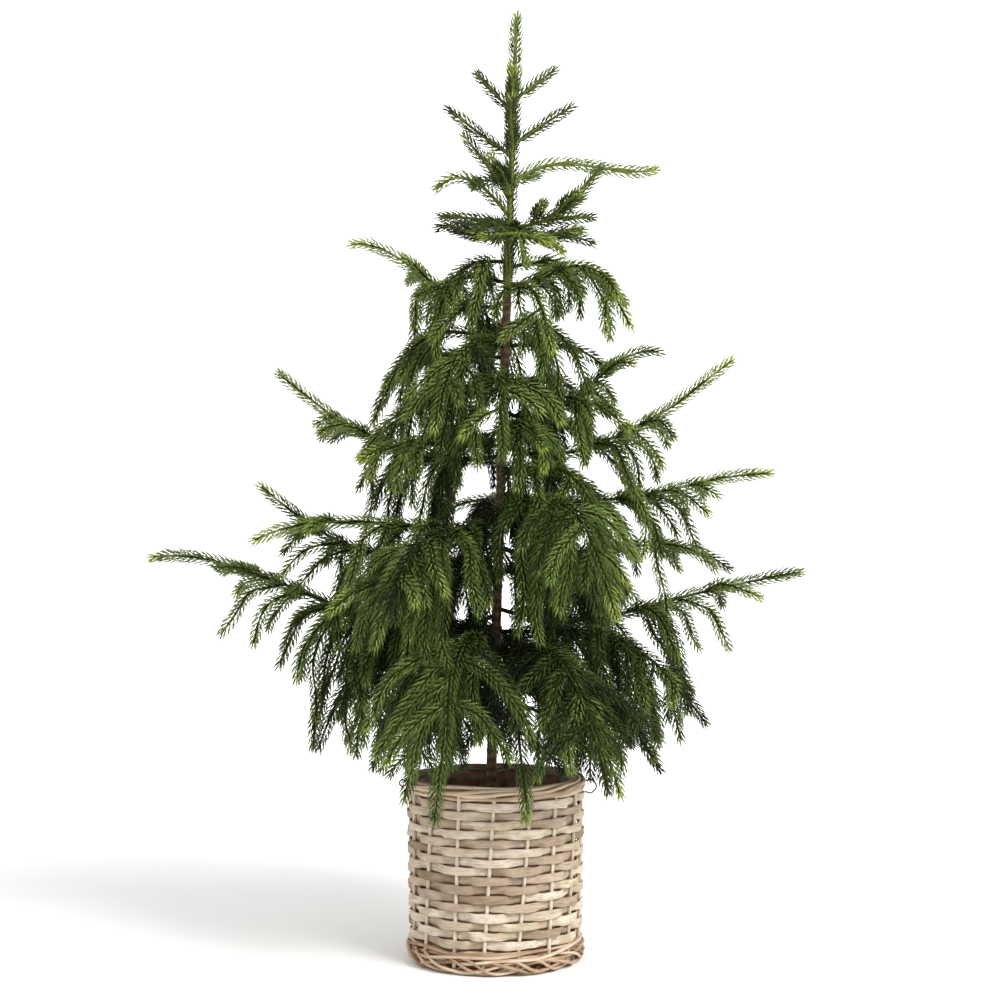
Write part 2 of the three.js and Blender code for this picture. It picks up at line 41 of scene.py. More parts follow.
# Studio
# The part stands on a white paper sweep in soft light. The camera is level, 1.85 m in front of the
# basket's axis, and sees the whole height.
MM = 0.001
CAMERA_AT = (4.3, -1850, 437.7)
CAMERA_LENS = 69.5
CAMERA_FILM = 36
CAMERA_FAR_M = 30
SWEEP_HALF_WIDTH = 6000
SWEEP_FRONT = -4000
SWEEP_BACK = 3000
SWEEP_BEND = 1500
SWEEP_TOP = 5000
SKY_STRENGTH = 0.74
LAMPS = [  # name, place, aim and size in metres, watts
    ("key", (1.45, -1.6, 1.8), (0, 0, 0.45), 1, 66),
    ("fill", (-1.6, -1.5, 1.2), (0, 0, 0.45), 1.4, 9),
    ("backdrop", (0, 1.4, 2.6), (0, 4.5, 1.3), 2.4, 130)]


def linear(code):
    """sRGB hex to linear light: c / 12.92 where c is small, else ((c + 0.055) / 1.055) to the power 2.4."""
    shown = np.array([int(code[i:i + 2], 16) for i in (1, 3, 5)]) / 255
    light = np.where(shown <= 0.04045, shown / 12.92, ((shown + 0.055) / 1.055) ** 2.4)
    return (*light.tolist(), 1)


def node(tree, kind, settings):
    """Adds a node. A setting is a property's value, an input's value or what feeds the input: an output, or
    a node for its first output."""
    made = tree.nodes.new("ShaderNode" + kind)
    for name, value in settings.items():
        if name == "stops":
            ramp = made.color_ramp.elements
            for place, _ in value[1:-1]:
                ramp.new(place)
            for stop, (place, colour) in zip(ramp, value):
                stop.position = place
                stop.color = linear(colour)
        elif isinstance(value, bpy.types.Node):
            tree.links.new(value.outputs[0], made.inputs[name])
        elif isinstance(value, bpy.types.NodeSocket):
            tree.links.new(value, made.inputs[name])
        elif isinstance(name, int) or name in made.inputs:
            made.inputs[name].default_value = value
        else:
            setattr(made, name, value)
    return made


def empty_material(name):
    """A material with no nodes yet."""
    made = bpy.data.materials.new(name)
    made.use_nodes = True
    made.node_tree.nodes.clear()
    return made


def finish_material(material, settings):
    """The surface's shader and the material's output."""
    shader = node(material.node_tree, "BsdfPrincipled", settings)
    node(material.node_tree, "OutputMaterial", {"Surface": shader})
    return material


def new_piece(name, points, faces, material, uv=None, tone=None):
    """A mesh object from points in millimetres and triangles. The triangles are turned where the volume that
    they enclose, a sixth of the sum of a . (b x c), comes out negative."""
    points = points.reshape(-1, 3)
    a, b, c = (points[faces[:, k]] for k in range(3))
    if np.einsum("ij,ij->", a, np.cross(b, c)) < 0:
        faces = faces[:, ::-1]
        uv = None if uv is None else uv[:, ::-1]
    mesh = bpy.data.meshes.new(name)
    mesh.vertices.add(len(points))
    mesh.vertices.foreach_set("co", (points * MM).astype(np.float32).ravel())
    mesh.loops.add(faces.size)
    mesh.loops.foreach_set("vertex_index", faces.astype(np.int32).ravel())
    mesh.polygons.add(len(faces))
    mesh.polygons.foreach_set("loop_start", np.arange(0, faces.size, 3, dtype=np.int32))
    mesh.polygons.foreach_set("use_smooth", np.ones(len(faces), bool))
    if uv is not None:
        layer = mesh.uv_layers.new(name="along")
        layer.uv.foreach_set("vector", uv.astype(np.float32).ravel())
    if tone is not None:
        values = mesh.attributes.new("tone", "FLOAT", "POINT").data
        values.foreach_set("value", tone.astype(np.float32).ravel())
    mesh.update(calc_edges=True)
    mesh.materials.append(material)
    piece = bpy.data.objects.new(name, mesh)
    scene.collection.objects.link(piece)
    return piece


paper = finish_material(empty_material("white_paper"), {
    "Base Color": linear("#fbfbfa"), "Roughness": 1, "Specular IOR Level": 0})
# a floor that runs back, a quarter turn of paper and a wall: a profile in y and z drawn out in x
bend = np.linspace(0, math.pi / 2, 24)
back = np.concatenate([[SWEEP_FRONT], SWEEP_BACK + SWEEP_BEND * np.sin(bend), [SWEEP_BACK + SWEEP_BEND]])
rise = np.concatenate([[0], SWEEP_BEND * (1 - np.cos(bend)), [SWEEP_TOP]])
ribs = np.array([(x, y, z) for y, z in zip(back, rise) for x in (-SWEEP_HALF_WIDTH, SWEEP_HALF_WIDTH)])
rows = np.arange(len(back) - 1)[:, None] * 2
sweep = new_piece("sweep", ribs, np.concatenate([rows + [0, 1, 3], rows + [0, 3, 2]]), paper)

camera_data = bpy.data.cameras.new("camera")
camera_data.lens = CAMERA_LENS
camera_data.sensor_width = CAMERA_FILM
camera_data.clip_end = CAMERA_FAR_M
camera = bpy.data.objects.new("camera", camera_data)
camera.location = [value * MM for value in CAMERA_AT]
camera.rotation_euler = (math.radians(90), 0, 0)
scene.collection.objects.link(camera)
scene.camera = camera

world = bpy.data.worlds.new("studio")
world.use_nodes = True
background = world.node_tree.nodes["Background"]
background.inputs["Color"].default_value = (1, 1, 1, 1)
background.inputs["Strength"].default_value = SKY_STRENGTH
scene.world = world
scene.view_settings.view_transform = "Standard"

for name, place, aim, size, power in LAMPS:
    lamp_data = bpy.data.lights.new(name, "AREA")
    lamp_data.size = size
    lamp_data.energy = power
    lamp = bpy.data.objects.new(name, lamp_data)
    lamp.location = place
    lamp.rotation_euler = (Vector(aim) - Vector(place)).to_track_quat("-Z", "Y").to_euler()
    scene.collection.objects.link(lamp)

# Basket stakes
# Sixteen peeled willow rods, 3.6 mm thick, stand in the base and carry the weave. They lean a little to the
# right as they rise, and are pushed down into the foot border and up into the rim.
STAKES = 16
FIRST_STAKE = math.radians(-94)
STAKE_R = 1.8
STAKE_GIRTH = 11.3
STAKE_FOOT_Z = 6
STAKE_TOP_Z = 168
STAKE_LEAN = 0.11
LEAN_SPREAD = 0.35
STAKE_DRIFT = 0.02
STAKE_TONES = (0.55, 0.85)
WALL_FOOT_Z = 24.3
WALL_TOP_Z = 159.9
WALL_FOOT_R = 79.6
WALL_TOP_R = 82
WAVE_PARTS = 1.7
rng = np.random.default_rng(7)


def circle(count):
    """Angles of count points at even steps round a circle."""
    return np.arange(count) * math.tau / count


def around_axis(radius, turn, height):
    """Points at a radius from the Z axis, a turn about it and a height."""
    return np.stack(np.broadcast_arrays(radius * np.cos(turn), radius * np.sin(turn), height), -1)


def skin(stations, around, closed):
    """Triangles of a tube: station i and point j join to i + 1 and j + 1. An open tube closes on two poles,
    which come after its stations. Also each corner's station and point, not wrapped round, for its UV."""
    i, j = np.divmod(np.arange((stations if closed else stations - 1) * around), around)
    stations_of = np.stack([i, i + 1, i + 1, i, i + 1, i], 1).reshape(-1, 3)
    points_of = np.stack([j, j, j + 1, j, j + 1, j + 1], 1).reshape(-1, 3)
    faces = (stations_of % stations) * around + points_of % around
    corners = np.stack([stations_of, points_of], -1).astype(float)
    if not closed:
        j = np.arange(around)
        pole = stations * around
        last = (stations - 1) * around
        foot = np.stack([np.full(around, pole), j, (j + 1) % around], 1)
        head = np.stack([np.full(around, pole + 1), last + (j + 1) % around, last + j], 1)
        faces = np.concatenate([faces, foot, head])
        cap = np.stack([j, j, j + 1], 1).astype(float)
        corners = np.concatenate([corners, np.stack([cap * 0, cap], -1),
                                  np.stack([cap * 0 + stations - 1, cap], -1)])
    return faces, corners


def repeat_skin(stations, around, closed, count):
    """The triangles and corners of count like tubes whose points follow each other."""
    faces, corners = skin(stations, around, closed)
    offsets = np.arange(count)[:, None, None] * (stations * around + (0 if closed else 2))
    return (faces[None] + offsets).reshape(-1, 3), np.tile(corners, (count, 1, 1))


def wall_radius(z):
    """The basket widens evenly from its foot to its top."""
    return WALL_FOOT_R + (WALL_TOP_R - WALL_FOOT_R) * (z - WALL_FOOT_Z) / (WALL_TOP_Z - WALL_FOOT_Z)


def willow(name, stops, worn, roughness, streak_mm):
    """Willow wood: a tone for each rod or strip, then brown grain along it where the whitewash is worn."""
    made = empty_material(name)
    tree = made.node_tree
    tone = node(tree, "Attribute", {"attribute_name": "tone"}).outputs["Fac"]
    along = node(tree, "UVMap", {"uv_map": "along"})
    # grain: a long streak every 0.7 mm or so, and cloudy patches of wash some 15 mm long
    streaks = node(tree, "Mapping", {"Vector": along, "Scale": (1 / streak_mm, 1.4, 1)})
    grain = node(tree, "TexNoise", {"Vector": streaks, "Scale": 1, "Detail": 4, "Roughness": 0.65})
    patches = node(tree, "Mapping", {"Vector": along, "Scale": (1 / 15, 1 / 9, 1)})
    wash = node(tree, "TexNoise", {"Vector": patches, "Scale": 1, "Detail": 3})
    shift = node(tree, "MapRange", {
        "Value": wash, "From Min": 0.3, "From Max": 0.7, "To Min": -0.14, "To Max": 0.14})
    mixed = node(tree, "Math", {"operation": "ADD", 0: tone, 1: shift})
    body = node(tree, "ValToRGB", {"Fac": mixed, "stops": stops})
    fibre = node(tree, "MapRange", {
        "Value": grain, "From Min": 0.50, "From Max": 0.68, "To Min": 0, "To Max": 0.55})
    colour = node(tree, "Mix", {"data_type": "RGBA", 0: fibre, 6: body, 7: linear(worn)})
    bump = node(tree, "Bump", {"Height": grain, "Strength": 0.5, "Distance": 0.0004})
    return finish_material(made, {
        "Base Color": colour.outputs[2], "Roughness": roughness, "Specular IOR Level": 0.25, "Normal": bump})


def slow_wave(turn, count, size):
    """A wave round the basket for each of count rods: three sines with 2 to 9 waves to the round, random in
    phase, each 0.4 to 1 times the size over WAVE_PARTS."""
    waves = rng.integers(2, 10, (count, 3, 1))
    phase = rng.uniform(0, math.tau, (count, 3, 1))
    share = rng.uniform(0.4, 1, (count, 3, 1)) * size / WAVE_PARTS
    return (share * np.sin(waves * turn + phase)).sum(axis=1)


def rod_uv(corners, length, girth, stations, around):
    """Millimetres along and round a rod for each corner of its triangles."""
    return corners * [length / stations, girth / around]


# whitewashed split willow: dry and matt, greige with pinkish and greenish strips
strip_willow = willow("whitewashed_split_willow", [
    (0, "#86735b"), (0.25, "#a3907a"), (0.45, "#b7a68f"), (0.62, "#c8b9a3"), (0.78, "#d9ccb9"),
    (0.9, "#b8ab8c"), (1, "#c8aa9a")], "#5f4833", 0.82, 14)


def stake_turns(z):
    """Where each stake stands round the basket at a height: at even steps, off by a sine of its number, and
    leaning to the right as it rises, some more than others by another sine."""
    number = np.arange(STAKES)
    risen = (np.asarray(z, float)[..., None] - WALL_FOOT_Z) / (WALL_TOP_Z - WALL_FOOT_Z) - 0.5
    return (FIRST_STAKE + number * math.tau / STAKES + STAKE_DRIFT * np.sin(1.7 * number)
            + STAKE_LEAN * (1 + LEAN_SPREAD * np.sin(2.4 * number)) * risen)


STATIONS, SIDES = 40, 8
height = np.linspace(STAKE_FOOT_Z, STAKE_TOP_Z, STATIONS)
stake_turn = stake_turns(height).T[:, :, None]
height = height[None, :, None]
angle = circle(SIDES)
reach = wall_radius(height) + STAKE_R * np.cos(angle)
points = around_axis(reach, stake_turn + STAKE_R * np.sin(angle) / reach, height)
poles = np.stack([around_axis(wall_radius(z), stake_turns(z), z) for z in (STAKE_FOOT_Z, STAKE_TOP_Z)], 1)
points = np.concatenate([points.reshape(STAKES, -1, 3), poles], 1)
faces, corners = repeat_skin(STATIONS, SIDES, False, STAKES)
stakes = new_piece("stakes", points, faces, strip_willow,
                   uv=rod_uv(corners, STAKE_TOP_Z - STAKE_FOOT_Z, STAKE_GIRTH, STATIONS, SIDES),
                   tone=np.repeat(rng.uniform(*STAKE_TONES, STAKES), STATIONS * SIDES + 2))
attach(stakes, "root")
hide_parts("basket_wall")

# Basket wall
# Sixteen rows of flat split willow, 8.5 mm high, in plain weave: over one stake and behind the next, the
# rows taking turns. The rows are beaten down on each other and share their wavy edges, so that each visible
# length looks like a brick. A strip is pinched a little where it passes behind a stake.
ROWS = 16
STRIP_HALF_T = 0.85
STRIP_GAP = 0.3
STRIP_PINCH = 0.6
PINCH_POWER = 12
CORNER_POWERS = (0.8, 0.45)
WEAVE_DEPTH = 2.4
WEAVE_SQUARE = 2.3
EDGE_WAVE, EDGE_RIPPLE, DEPTH_WAVE, LEAN_WAVE = 0.75, 0.3, 0.3, 0.22
MEAN_R = 81
STRIP_GIRTH = 20
ROW_SHIFT_MM = 37
AROUND, SECTION = 16 * 14, 12


def squared(wave, power):
    """A sine pushed out towards a square wave: its size to a power below 1, with its sign."""
    return np.sign(wave) * np.abs(wave) ** power


turn = circle(AROUND)
row = np.arange(ROWS)[:, None]
edge_z = WALL_FOOT_Z + (WALL_TOP_Z - WALL_FOOT_Z) * np.arange(ROWS + 1)[:, None] / ROWS
edge_z = edge_z + slow_wave(turn, ROWS + 1, EDGE_WAVE) + slow_wave(turn * 4, ROWS + 1, EDGE_RIPPLE)
middle_z = (edge_z[1:] + edge_z[:-1]) / 2
past_stakes = np.stack([
    np.interp(turn, np.concatenate([stands - math.tau, stands, stands + math.tau]),
              np.arange(-STAKES, 2 * STAKES)) for stands in stake_turns(middle_z.mean(1))])
out = np.cos(math.pi * past_stakes) * np.where(row % 2, 1, -1)
bulge = WEAVE_DEPTH * np.tanh(WEAVE_SQUARE * out) / math.tanh(WEAVE_SQUARE)
middle_r = wall_radius(middle_z) + bulge + slow_wave(turn, ROWS, DEPTH_WAVE)
half_height = (edge_z[1:] - edge_z[:-1]) / 2 - STRIP_GAP - STRIP_PINCH * np.maximum(0, -out) ** PINCH_POWER
lean = slow_wave(turn * 3, ROWS, LEAN_WAVE)
flat = squared(np.cos(circle(SECTION)), CORNER_POWERS[0]) * STRIP_HALF_T
tall = squared(np.sin(circle(SECTION)), CORNER_POWERS[1]) * half_height[..., None]
reach = middle_r[..., None] + flat + tall * lean[..., None]
points = around_axis(reach, turn[:, None], middle_z[..., None] + tall)
pieces_seen = np.floor((past_stakes + np.where(row % 2, 1, 0)) / 2).astype(int) % (STAKES // 2)
tones = np.take_along_axis(rng.beta(1.5, 1.4, (ROWS, STAKES // 2)), pieces_seen, 1)
faces, corners = repeat_skin(AROUND, SECTION, True, ROWS)
shifted = rod_uv(corners, math.tau * MEAN_R, STRIP_GIRTH, AROUND, SECTION)
shifted[..., 1] += np.repeat(np.arange(ROWS) * ROW_SHIFT_MM, AROUND * SECTION * 2)[:, None]
weavers = new_piece("weavers", points, faces, strip_willow, uv=shifted,
                    tone=np.repeat(tones, SECTION))
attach(weavers, "root")
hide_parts("basket_wall")

# Basket foot
# The border that ends the base: thin rods of unpeeled golden willow, 3.3 mm thick, laid round and crossing
# each other over a dark hollow. It is the flat ring that the basket stands on.
FOOT_RODS = [  # radius and height of a ring, its half width and height, its rods, their radius, turns, wobble
    (80.2, 16.4, 3.6, 5.2, 6, 1.6, 1, 0.7),
    (79.6, 9.9, 4.4, 7, 5, 1.7, -5, 0.5),
    (79, 8.8, 4, 6.2, 2, 1.6, 4, 0.4)]
THICK_WAVE, INSET_WAVE, TONE_WAVE = 0.12, 0.05, 0.2
ROD_SHIFT_MM = 23


def rod_ring(radius, z, half_width, half_height, rods, rod_r, turns, wobble):
    """Rods that wind round a ring's oval section while they run round the ring. Each rod's middle is at
    (half_width cos p, half_height sin p) in the section, where p grows by whole turns in one round."""
    stations, sides = 288, 7
    run = circle(stations)
    p = circle(rods)[:, None] + turns * run + slow_wave(run, rods, wobble)
    thick = rod_r * (1 + slow_wave(run, rods, THICK_WAVE))
    inset = 1 + slow_wave(run, rods, INSET_WAVE)
    angle = circle(sides)
    r = radius + (half_width * inset * np.cos(p))[..., None] + thick[..., None] * np.cos(angle)
    height = z + (half_height * inset * np.sin(p))[..., None] + thick[..., None] * np.sin(angle)
    faces, corners = repeat_skin(stations, sides, True, rods)
    uv = rod_uv(corners, math.tau * radius, math.tau * rod_r, stations, sides)
    uv[..., 1] += np.repeat(np.arange(rods) * ROD_SHIFT_MM, stations * sides * 2)[:, None]
    tone = np.clip(rng.uniform(0.1, 0.9, (rods, 1)) + slow_wave(run, rods, TONE_WAVE), 0, 1)
    return around_axis(r, run[:, None], height).reshape(-1, 3), faces, uv, np.repeat(tone, sides)


def rod_border(rings):
    """The rods of several rings, as one table of points with its triangles, UVs and tones."""
    points, faces, uv, tone = zip(*(rod_ring(*ring) for ring in rings))
    starts = np.cumsum([0] + [len(own) for own in points[:-1]])
    faces = [own + start for own, start in zip(faces, starts)]
    return [np.concatenate(parts) for parts in (points, faces, uv, tone)]


# thin unpeeled rods: smoother than the split strips, golden to reddish tan
rod_willow = willow("golden_rod_willow", [
    (0, "#866a52"), (0.3, "#ae9074"), (0.55, "#cab096"), (0.8, "#dfcbb3"), (1, "#c4a58c")],
    "#5a402c", 0.6, 22)
points, faces, uv, tone = rod_border(FOOT_RODS)
foot_border = new_piece("foot_border", points, faces, rod_willow, uv=uv, tone=tone)
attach(foot_border, "root")
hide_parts("basket_foot")

# Basket base
# Rings of thin rod woven over and under sixteen spokes, seen only from below. It lies inside the foot
# border, a little off the ground.
RING_PITCH = 3.7
FIRST_RING, LAST_RING = 4, 72
RING_HALF_W, RING_HALF_T = 1.75, 1.3
RING_LIFT = 0.9
BASE_Z = 3.2
MEAN_RING_MM, RING_GIRTH = 250, 10
SPOKES = 16
STATIONS, SIDES = 128, 6
rings = np.arange(FIRST_RING, LAST_RING, RING_PITCH)
turn, angle = circle(STATIONS), circle(SIDES)
side = np.where(np.arange(len(rings)) % 2, 1, -1)[:, None]
lift = BASE_Z + RING_LIFT * side * np.cos(SPOKES / 2 * turn)
points = around_axis(rings[:, None, None] + RING_HALF_W * np.cos(angle), turn[:, None],
                     lift[..., None] + RING_HALF_T * np.sin(angle))
faces, corners = repeat_skin(STATIONS, SIDES, True, len(rings))
base = new_piece("base_weave", points, faces, rod_willow,
                 uv=rod_uv(corners, MEAN_RING_MM, RING_GIRTH, STATIONS, SIDES),
                 tone=np.repeat(rng.uniform(0.2, 0.8, len(rings)), STATIONS * SIDES))
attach(base, "root")
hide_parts("basket_floor")

# Basket rim
# The top border: ten peeled rods, 3.8 mm thick and less, loosely twisted together and tied down over the
# stakes. They have kept a little of the whitewash.
RIM_RODS = [(80.6, 167.6, 4.3, 5.3, 8, 1.9, 1, 0.5), (80.6, 167.6, 1.2, 1.8, 2, 1.7, 3, 0.1)]
rim_willow = willow("whitewashed_rod_willow", [
    (0, "#8f7659"), (0.3, "#b49b7e"), (0.55, "#ccb79b"), (0.8, "#decdb5"), (1, "#ccb099")],
    "#624830", 0.75, 20)
points, faces, uv, tone = rod_border(RIM_RODS)
rim = new_piece("rim_border", points, faces, rim_willow, uv=uv, tone=tone)
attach(rim, "root")
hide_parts("basket_rim")

# Wire ears
# A loop of annealed steel wire, 1.5 mm thick, stands out of the rim at the right, and the end of another
# at the left. They hold nothing.
WIRE_R = 0.75
EAR_X = 87.3
EAR_TAIL = 3
# side, how far it stands out, its low and high ends
EARS = {"right": (1, 9.5, 158, 169), "left": (-1, 5, 164, 169)}
LOOP_STEPS, LOOP_SIDES = 8, 8


def mottled(name, noise, stops, surface, bump=None):
    """A material whose colour follows one noise in the object's own space. So does its relief, where bump
    gives a strength and a depth in metres."""
    made = empty_material(name)
    tree = made.node_tree
    place = node(tree, "TexCoord", {}).outputs["Object"]
    mottle = node(tree, "TexNoise", {"Vector": place, **noise})
    settings = {"Base Color": node(tree, "ValToRGB", {"Fac": mottle, "stops": stops}), **surface}
    if bump:
        settings["Normal"] = node(tree, "Bump", {"Height": mottle, "Strength": bump[0], "Distance": bump[1]})
    return finish_material(made, settings)


# drawn wire: dull brown oxide with finer, brighter scuffs a few tenths of a millimetre wide
wire_steel = mottled("annealed_steel_wire", {"Scale": 1500}, [(0.35, "#3b302a"), (0.7, "#7d6a5a")],
                     {"Metallic": 1, "Roughness": 0.45})


def rods_along(centres, across, radii, sides):
    """Round rods: each station is a circle about its centre, in the plane of across and across x direction.
    centres is rods x stations x 3, across is rods x 3, radii is rods x stations. The ends close on poles."""
    direction = np.gradient(centres, axis=1)
    direction /= np.linalg.norm(direction, axis=-1, keepdims=True)
    across = np.broadcast_to(across[:, None, :], centres.shape)
    over = np.cross(across, direction)
    angle = circle(sides)
    ring = centres[:, :, None] + radii[:, :, None, None] * (
        np.cos(angle)[:, None] * across[:, :, None] + np.sin(angle)[:, None] * over[:, :, None])
    count, stations = centres.shape[:2]
    points = np.concatenate([ring.reshape(count, -1, 3), centres[:, :1], centres[:, -1:]], 1)
    return points, repeat_skin(stations, sides, False, count)[0]


def smooth_path(knots, steps):
    """A Catmull-Rom curve: between two knots, a cubic whose slope at each is half its neighbours' step."""
    knots = np.array(knots, float)
    knots = np.concatenate([[2 * knots[0] - knots[1]], knots, [2 * knots[-1] - knots[-2]]])
    t = np.linspace(0, 1, steps, endpoint=False)[:, None]
    spans = [0.5 * (2 * b + (c - a) * t + (2 * a - 5 * b + 4 * c - d) * t ** 2
                    + (3 * b - a - 3 * c + d) * t ** 3)
             for a, b, c, d in zip(knots, knots[1:], knots[2:], knots[3:])]
    return np.concatenate([*spans, knots[-2:-1]])


for name, (side, out_by, low, high) in EARS.items():
    root, outer, tail = side * EAR_X, side * (EAR_X + out_by), side * (EAR_X - EAR_TAIL)
    middle = (root + outer) / 2
    path = smooth_path([(tail, 0, high), (root, 0, high), (middle, 0, high + WIRE_R),
                        (outer, 0, (low + high) / 2), (middle, 0, low - WIRE_R),
                        (root, 0, low), (tail, 0, low)], LOOP_STEPS)
    points, faces = rods_along(path[None], np.array([[0, 1, 0]]), np.full((1, len(path)), WIRE_R), LOOP_SIDES)
    ear = new_piece("wire_loop_" + name, points, faces, wire_steel)
    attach(ear, "root")
    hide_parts("wire_ear_" + name)

# Liner
# A cup of maroon-brown polythene film inside the weave, so that the filling doesn't show between the
# strips. It is pressed against the wall, with shallow upright creases, and its edge is tucked under the rim.
LINER_FOOT_R = 73.3
LINER_TOP_R = 78.6
LINER_FOOT_Z = 6.3
LINER_TOP_Z = 157.9
LINER_SPREAD = LINER_TOP_R - LINER_FOOT_R
TUCK_R = 75.3
TUCK_Z = 167
FILM_T = 0.8
CREASE_MM = 0.5
CREASED_FROM_R = 60
CENTRE_R = 2
FLOOR_RINGS, WALL_RINGS, AROUND = 8, 24, 180


def revolve(radius, height, around, swell=0):
    """A profile turned about the Z axis: point j of ring i stands at radius i, turned by j of around steps,
    and swell adds to the radius. The ends close on the axis."""
    rings = around_axis(radius[:, None] + swell, circle(around), height[:, None])
    axis = np.array([[0, 0, height[0]], [0, 0, height[-1]]])
    return np.concatenate([rings.reshape(-1, 3), axis]), skin(len(radius), around, False)[0]


# blown film: smooth and waxy, with soft creases a few millimetres wide
film = mottled("polythene_film", {"Scale": 90, "Detail": 2}, [(0.3, "#7d5646"), (0.7, "#b48b76")],
               {"Roughness": 0.42}, (0.6, 0.001))
share = np.linspace(0, 1, WALL_RINGS)
radius = np.concatenate([
    np.linspace(CENTRE_R, LINER_FOOT_R, FLOOR_RINGS), LINER_FOOT_R + LINER_SPREAD * share[1:],
    [TUCK_R, TUCK_R - FILM_T], LINER_TOP_R - FILM_T - LINER_SPREAD * share,
    np.linspace(LINER_FOOT_R - FILM_T, CENTRE_R, FLOOR_RINGS)[1:]])
height = np.concatenate([
    np.full(FLOOR_RINGS, LINER_FOOT_Z), LINER_FOOT_Z + (LINER_TOP_Z - LINER_FOOT_Z) * share[1:],
    [TUCK_Z, TUCK_Z], LINER_TOP_Z - (LINER_TOP_Z - LINER_FOOT_Z - FILM_T) * share,
    np.full(FLOOR_RINGS - 1, LINER_FOOT_Z + FILM_T)])
crease = slow_wave(np.arange(AROUND) * 8 * math.pi / AROUND, 1, CREASE_MM)
upright = (np.clip((radius - CREASED_FROM_R) / 10, 0, 1)[:, None]
           * np.minimum(height[:, None] / LINER_TOP_Z, 1))
points, faces = revolve(radius, height, AROUND, crease * upright - CREASE_MM * upright)
liner = new_piece("film_liner", points, faces, film)
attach(liner, "root")
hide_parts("liner")

# Filling
# The trunk's foot is cast into a weight, and brown coir is spread over it. The coir is a low crumbly
# mound, 20 mm under the liner's edge.
FILL_FOOT_Z = 8
FILL_EDGE_Z = 133
FILL_TOP_Z = 138
FILL_FOOT_R = 71.5
FILL_EDGE_R = 75.6
CRUMBS = 14
CRUMB_MM = (0.8, 2.6)
CRUMB_HEIGHT = 0.22
# dry fibres about half a millimetre thick, tangled, in browns
coir = mottled("coir_fibre", {"Scale": 420, "Detail": 5, "Distortion": 1.5},
               [(0.3, "#2e1f15"), (0.5, "#5c4030"), (0.72, "#8d6a4a")],
               {"Roughness": 0.95, "Specular IOR Level": 0.1}, (1, 0.0015))
inward = np.linspace(1, 0.02, 48)
radius = np.concatenate([[CENTRE_R, FILL_FOOT_R], FILL_EDGE_R * inward])
height = np.concatenate([[FILL_FOOT_Z, FILL_FOOT_Z], FILL_TOP_Z - (FILL_TOP_Z - FILL_EDGE_Z) * inward ** 3])
points, faces = revolve(radius, height, 150)
crumb = sum(np.sin(points[:, 0] * math.cos(a) / size + points[:, 1] * math.sin(a) / size + a * 9)
            for a, size in zip(rng.uniform(0, 6.3, CRUMBS), rng.uniform(*CRUMB_MM, CRUMBS)))
points[:, 2] += np.where(points[:, 2] > FILL_EDGE_Z, CRUMB_HEIGHT * crumb, 0)
filling = new_piece("coir_filling", points, faces, coir)
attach(filling, "root")
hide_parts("filling")

# Trunk
# A steel rod wrapped in moulded polythene bark, 10.8 mm thick at the foot and 8.4 mm where the green
# leader takes over. It leans a little to the right. The bark has ring scars, and shallow cracks between.
AXIS_X = -10
LEAN = 0.0335
TRUNK_FOOT_Z = 40
TRUNK_TOP_Z = 686
TRUNK_FOOT_R = 5.4
TRUNK_TOP_R = 4.2
RING_SCARS_MM = 9
SCAR_HEIGHT = 0.32
CRACK_DEPTH = 0.16
BARK_INSET = 0.2
HEIGHT = 900


def trunk_axis(z):
    """The trunk's middle at a height: its lean is one straight line."""
    z = np.asarray(z, float)
    return np.stack([AXIS_X + LEAN * z, 0 * z, z], -1)


bark = empty_material("moulded_bark")
# moulded polythene, semi-matt: tan ring scars over reddish brown, with cracks that run upwards
tree = bark.node_tree
place = node(tree, "TexCoord", {}).outputs["Object"]
upwards = node(tree, "Mapping", {"Vector": place, "Scale": (1, 1, 0.25)})
cracks = node(tree, "TexNoise", {"Vector": upwards, "Scale": 700, "Detail": 5, "Roughness": 0.7})
scars = node(tree, "TexWave", {
    "Vector": place, "bands_direction": "Z", "Scale": math.tau / (20 * RING_SCARS_MM * MM),
    "Distortion": 3, "Detail": 2, "Detail Scale": 4})
both = node(tree, "Math", {"operation": "MULTIPLY_ADD", 0: scars.outputs["Fac"], 1: 0.24, 2: cracks})
bark_tone = node(tree, "ValToRGB", {
    "Fac": both, "stops": [(0.35, "#3a2a1e"), (0.55, "#5f4630"), (0.72, "#7b603f"), (0.9, "#937852")]})
bark_bump = node(tree, "Bump", {"Height": both, "Strength": 0.7, "Distance": 0.0006})
finish_material(bark, {"Base Color": bark_tone, "Roughness": 0.62, "Normal": bark_bump})
STATIONS, SIDES = 640, 20
height = np.linspace(TRUNK_FOOT_Z, TRUNK_TOP_Z, STATIONS)
angle = circle(SIDES)
girth = TRUNK_FOOT_R + (TRUNK_TOP_R - TRUNK_FOOT_R) * (height - TRUNK_FOOT_Z) / (TRUNK_TOP_Z - TRUNK_FOOT_Z)
ripple = rng.uniform(0, math.tau, 6)
up = height[:, None]
scar = np.maximum(0, np.sin(math.tau * up / RING_SCARS_MM + 0.8 * np.sin(angle + ripple[0]))) ** 6
crack = (np.sin(5 * angle + up / 7 + ripple[1]) * np.sin(3 * angle - up / 11 + ripple[2])
         + 0.6 * np.sin(8 * angle + 2 * np.sin(up / 5 + ripple[3])))
r = girth[:, None] + SCAR_HEIGHT * scar + CRACK_DEPTH * crack - BARK_INSET
points = trunk_axis(height)[:, None] + around_axis(r, angle, 0)
points = np.concatenate([points.reshape(-1, 3), trunk_axis([TRUNK_FOOT_Z, TRUNK_TOP_Z])])
trunk = new_piece("bark_trunk", points, skin(STATIONS, SIDES, False)[0], bark)
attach(trunk, "root")
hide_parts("trunk")

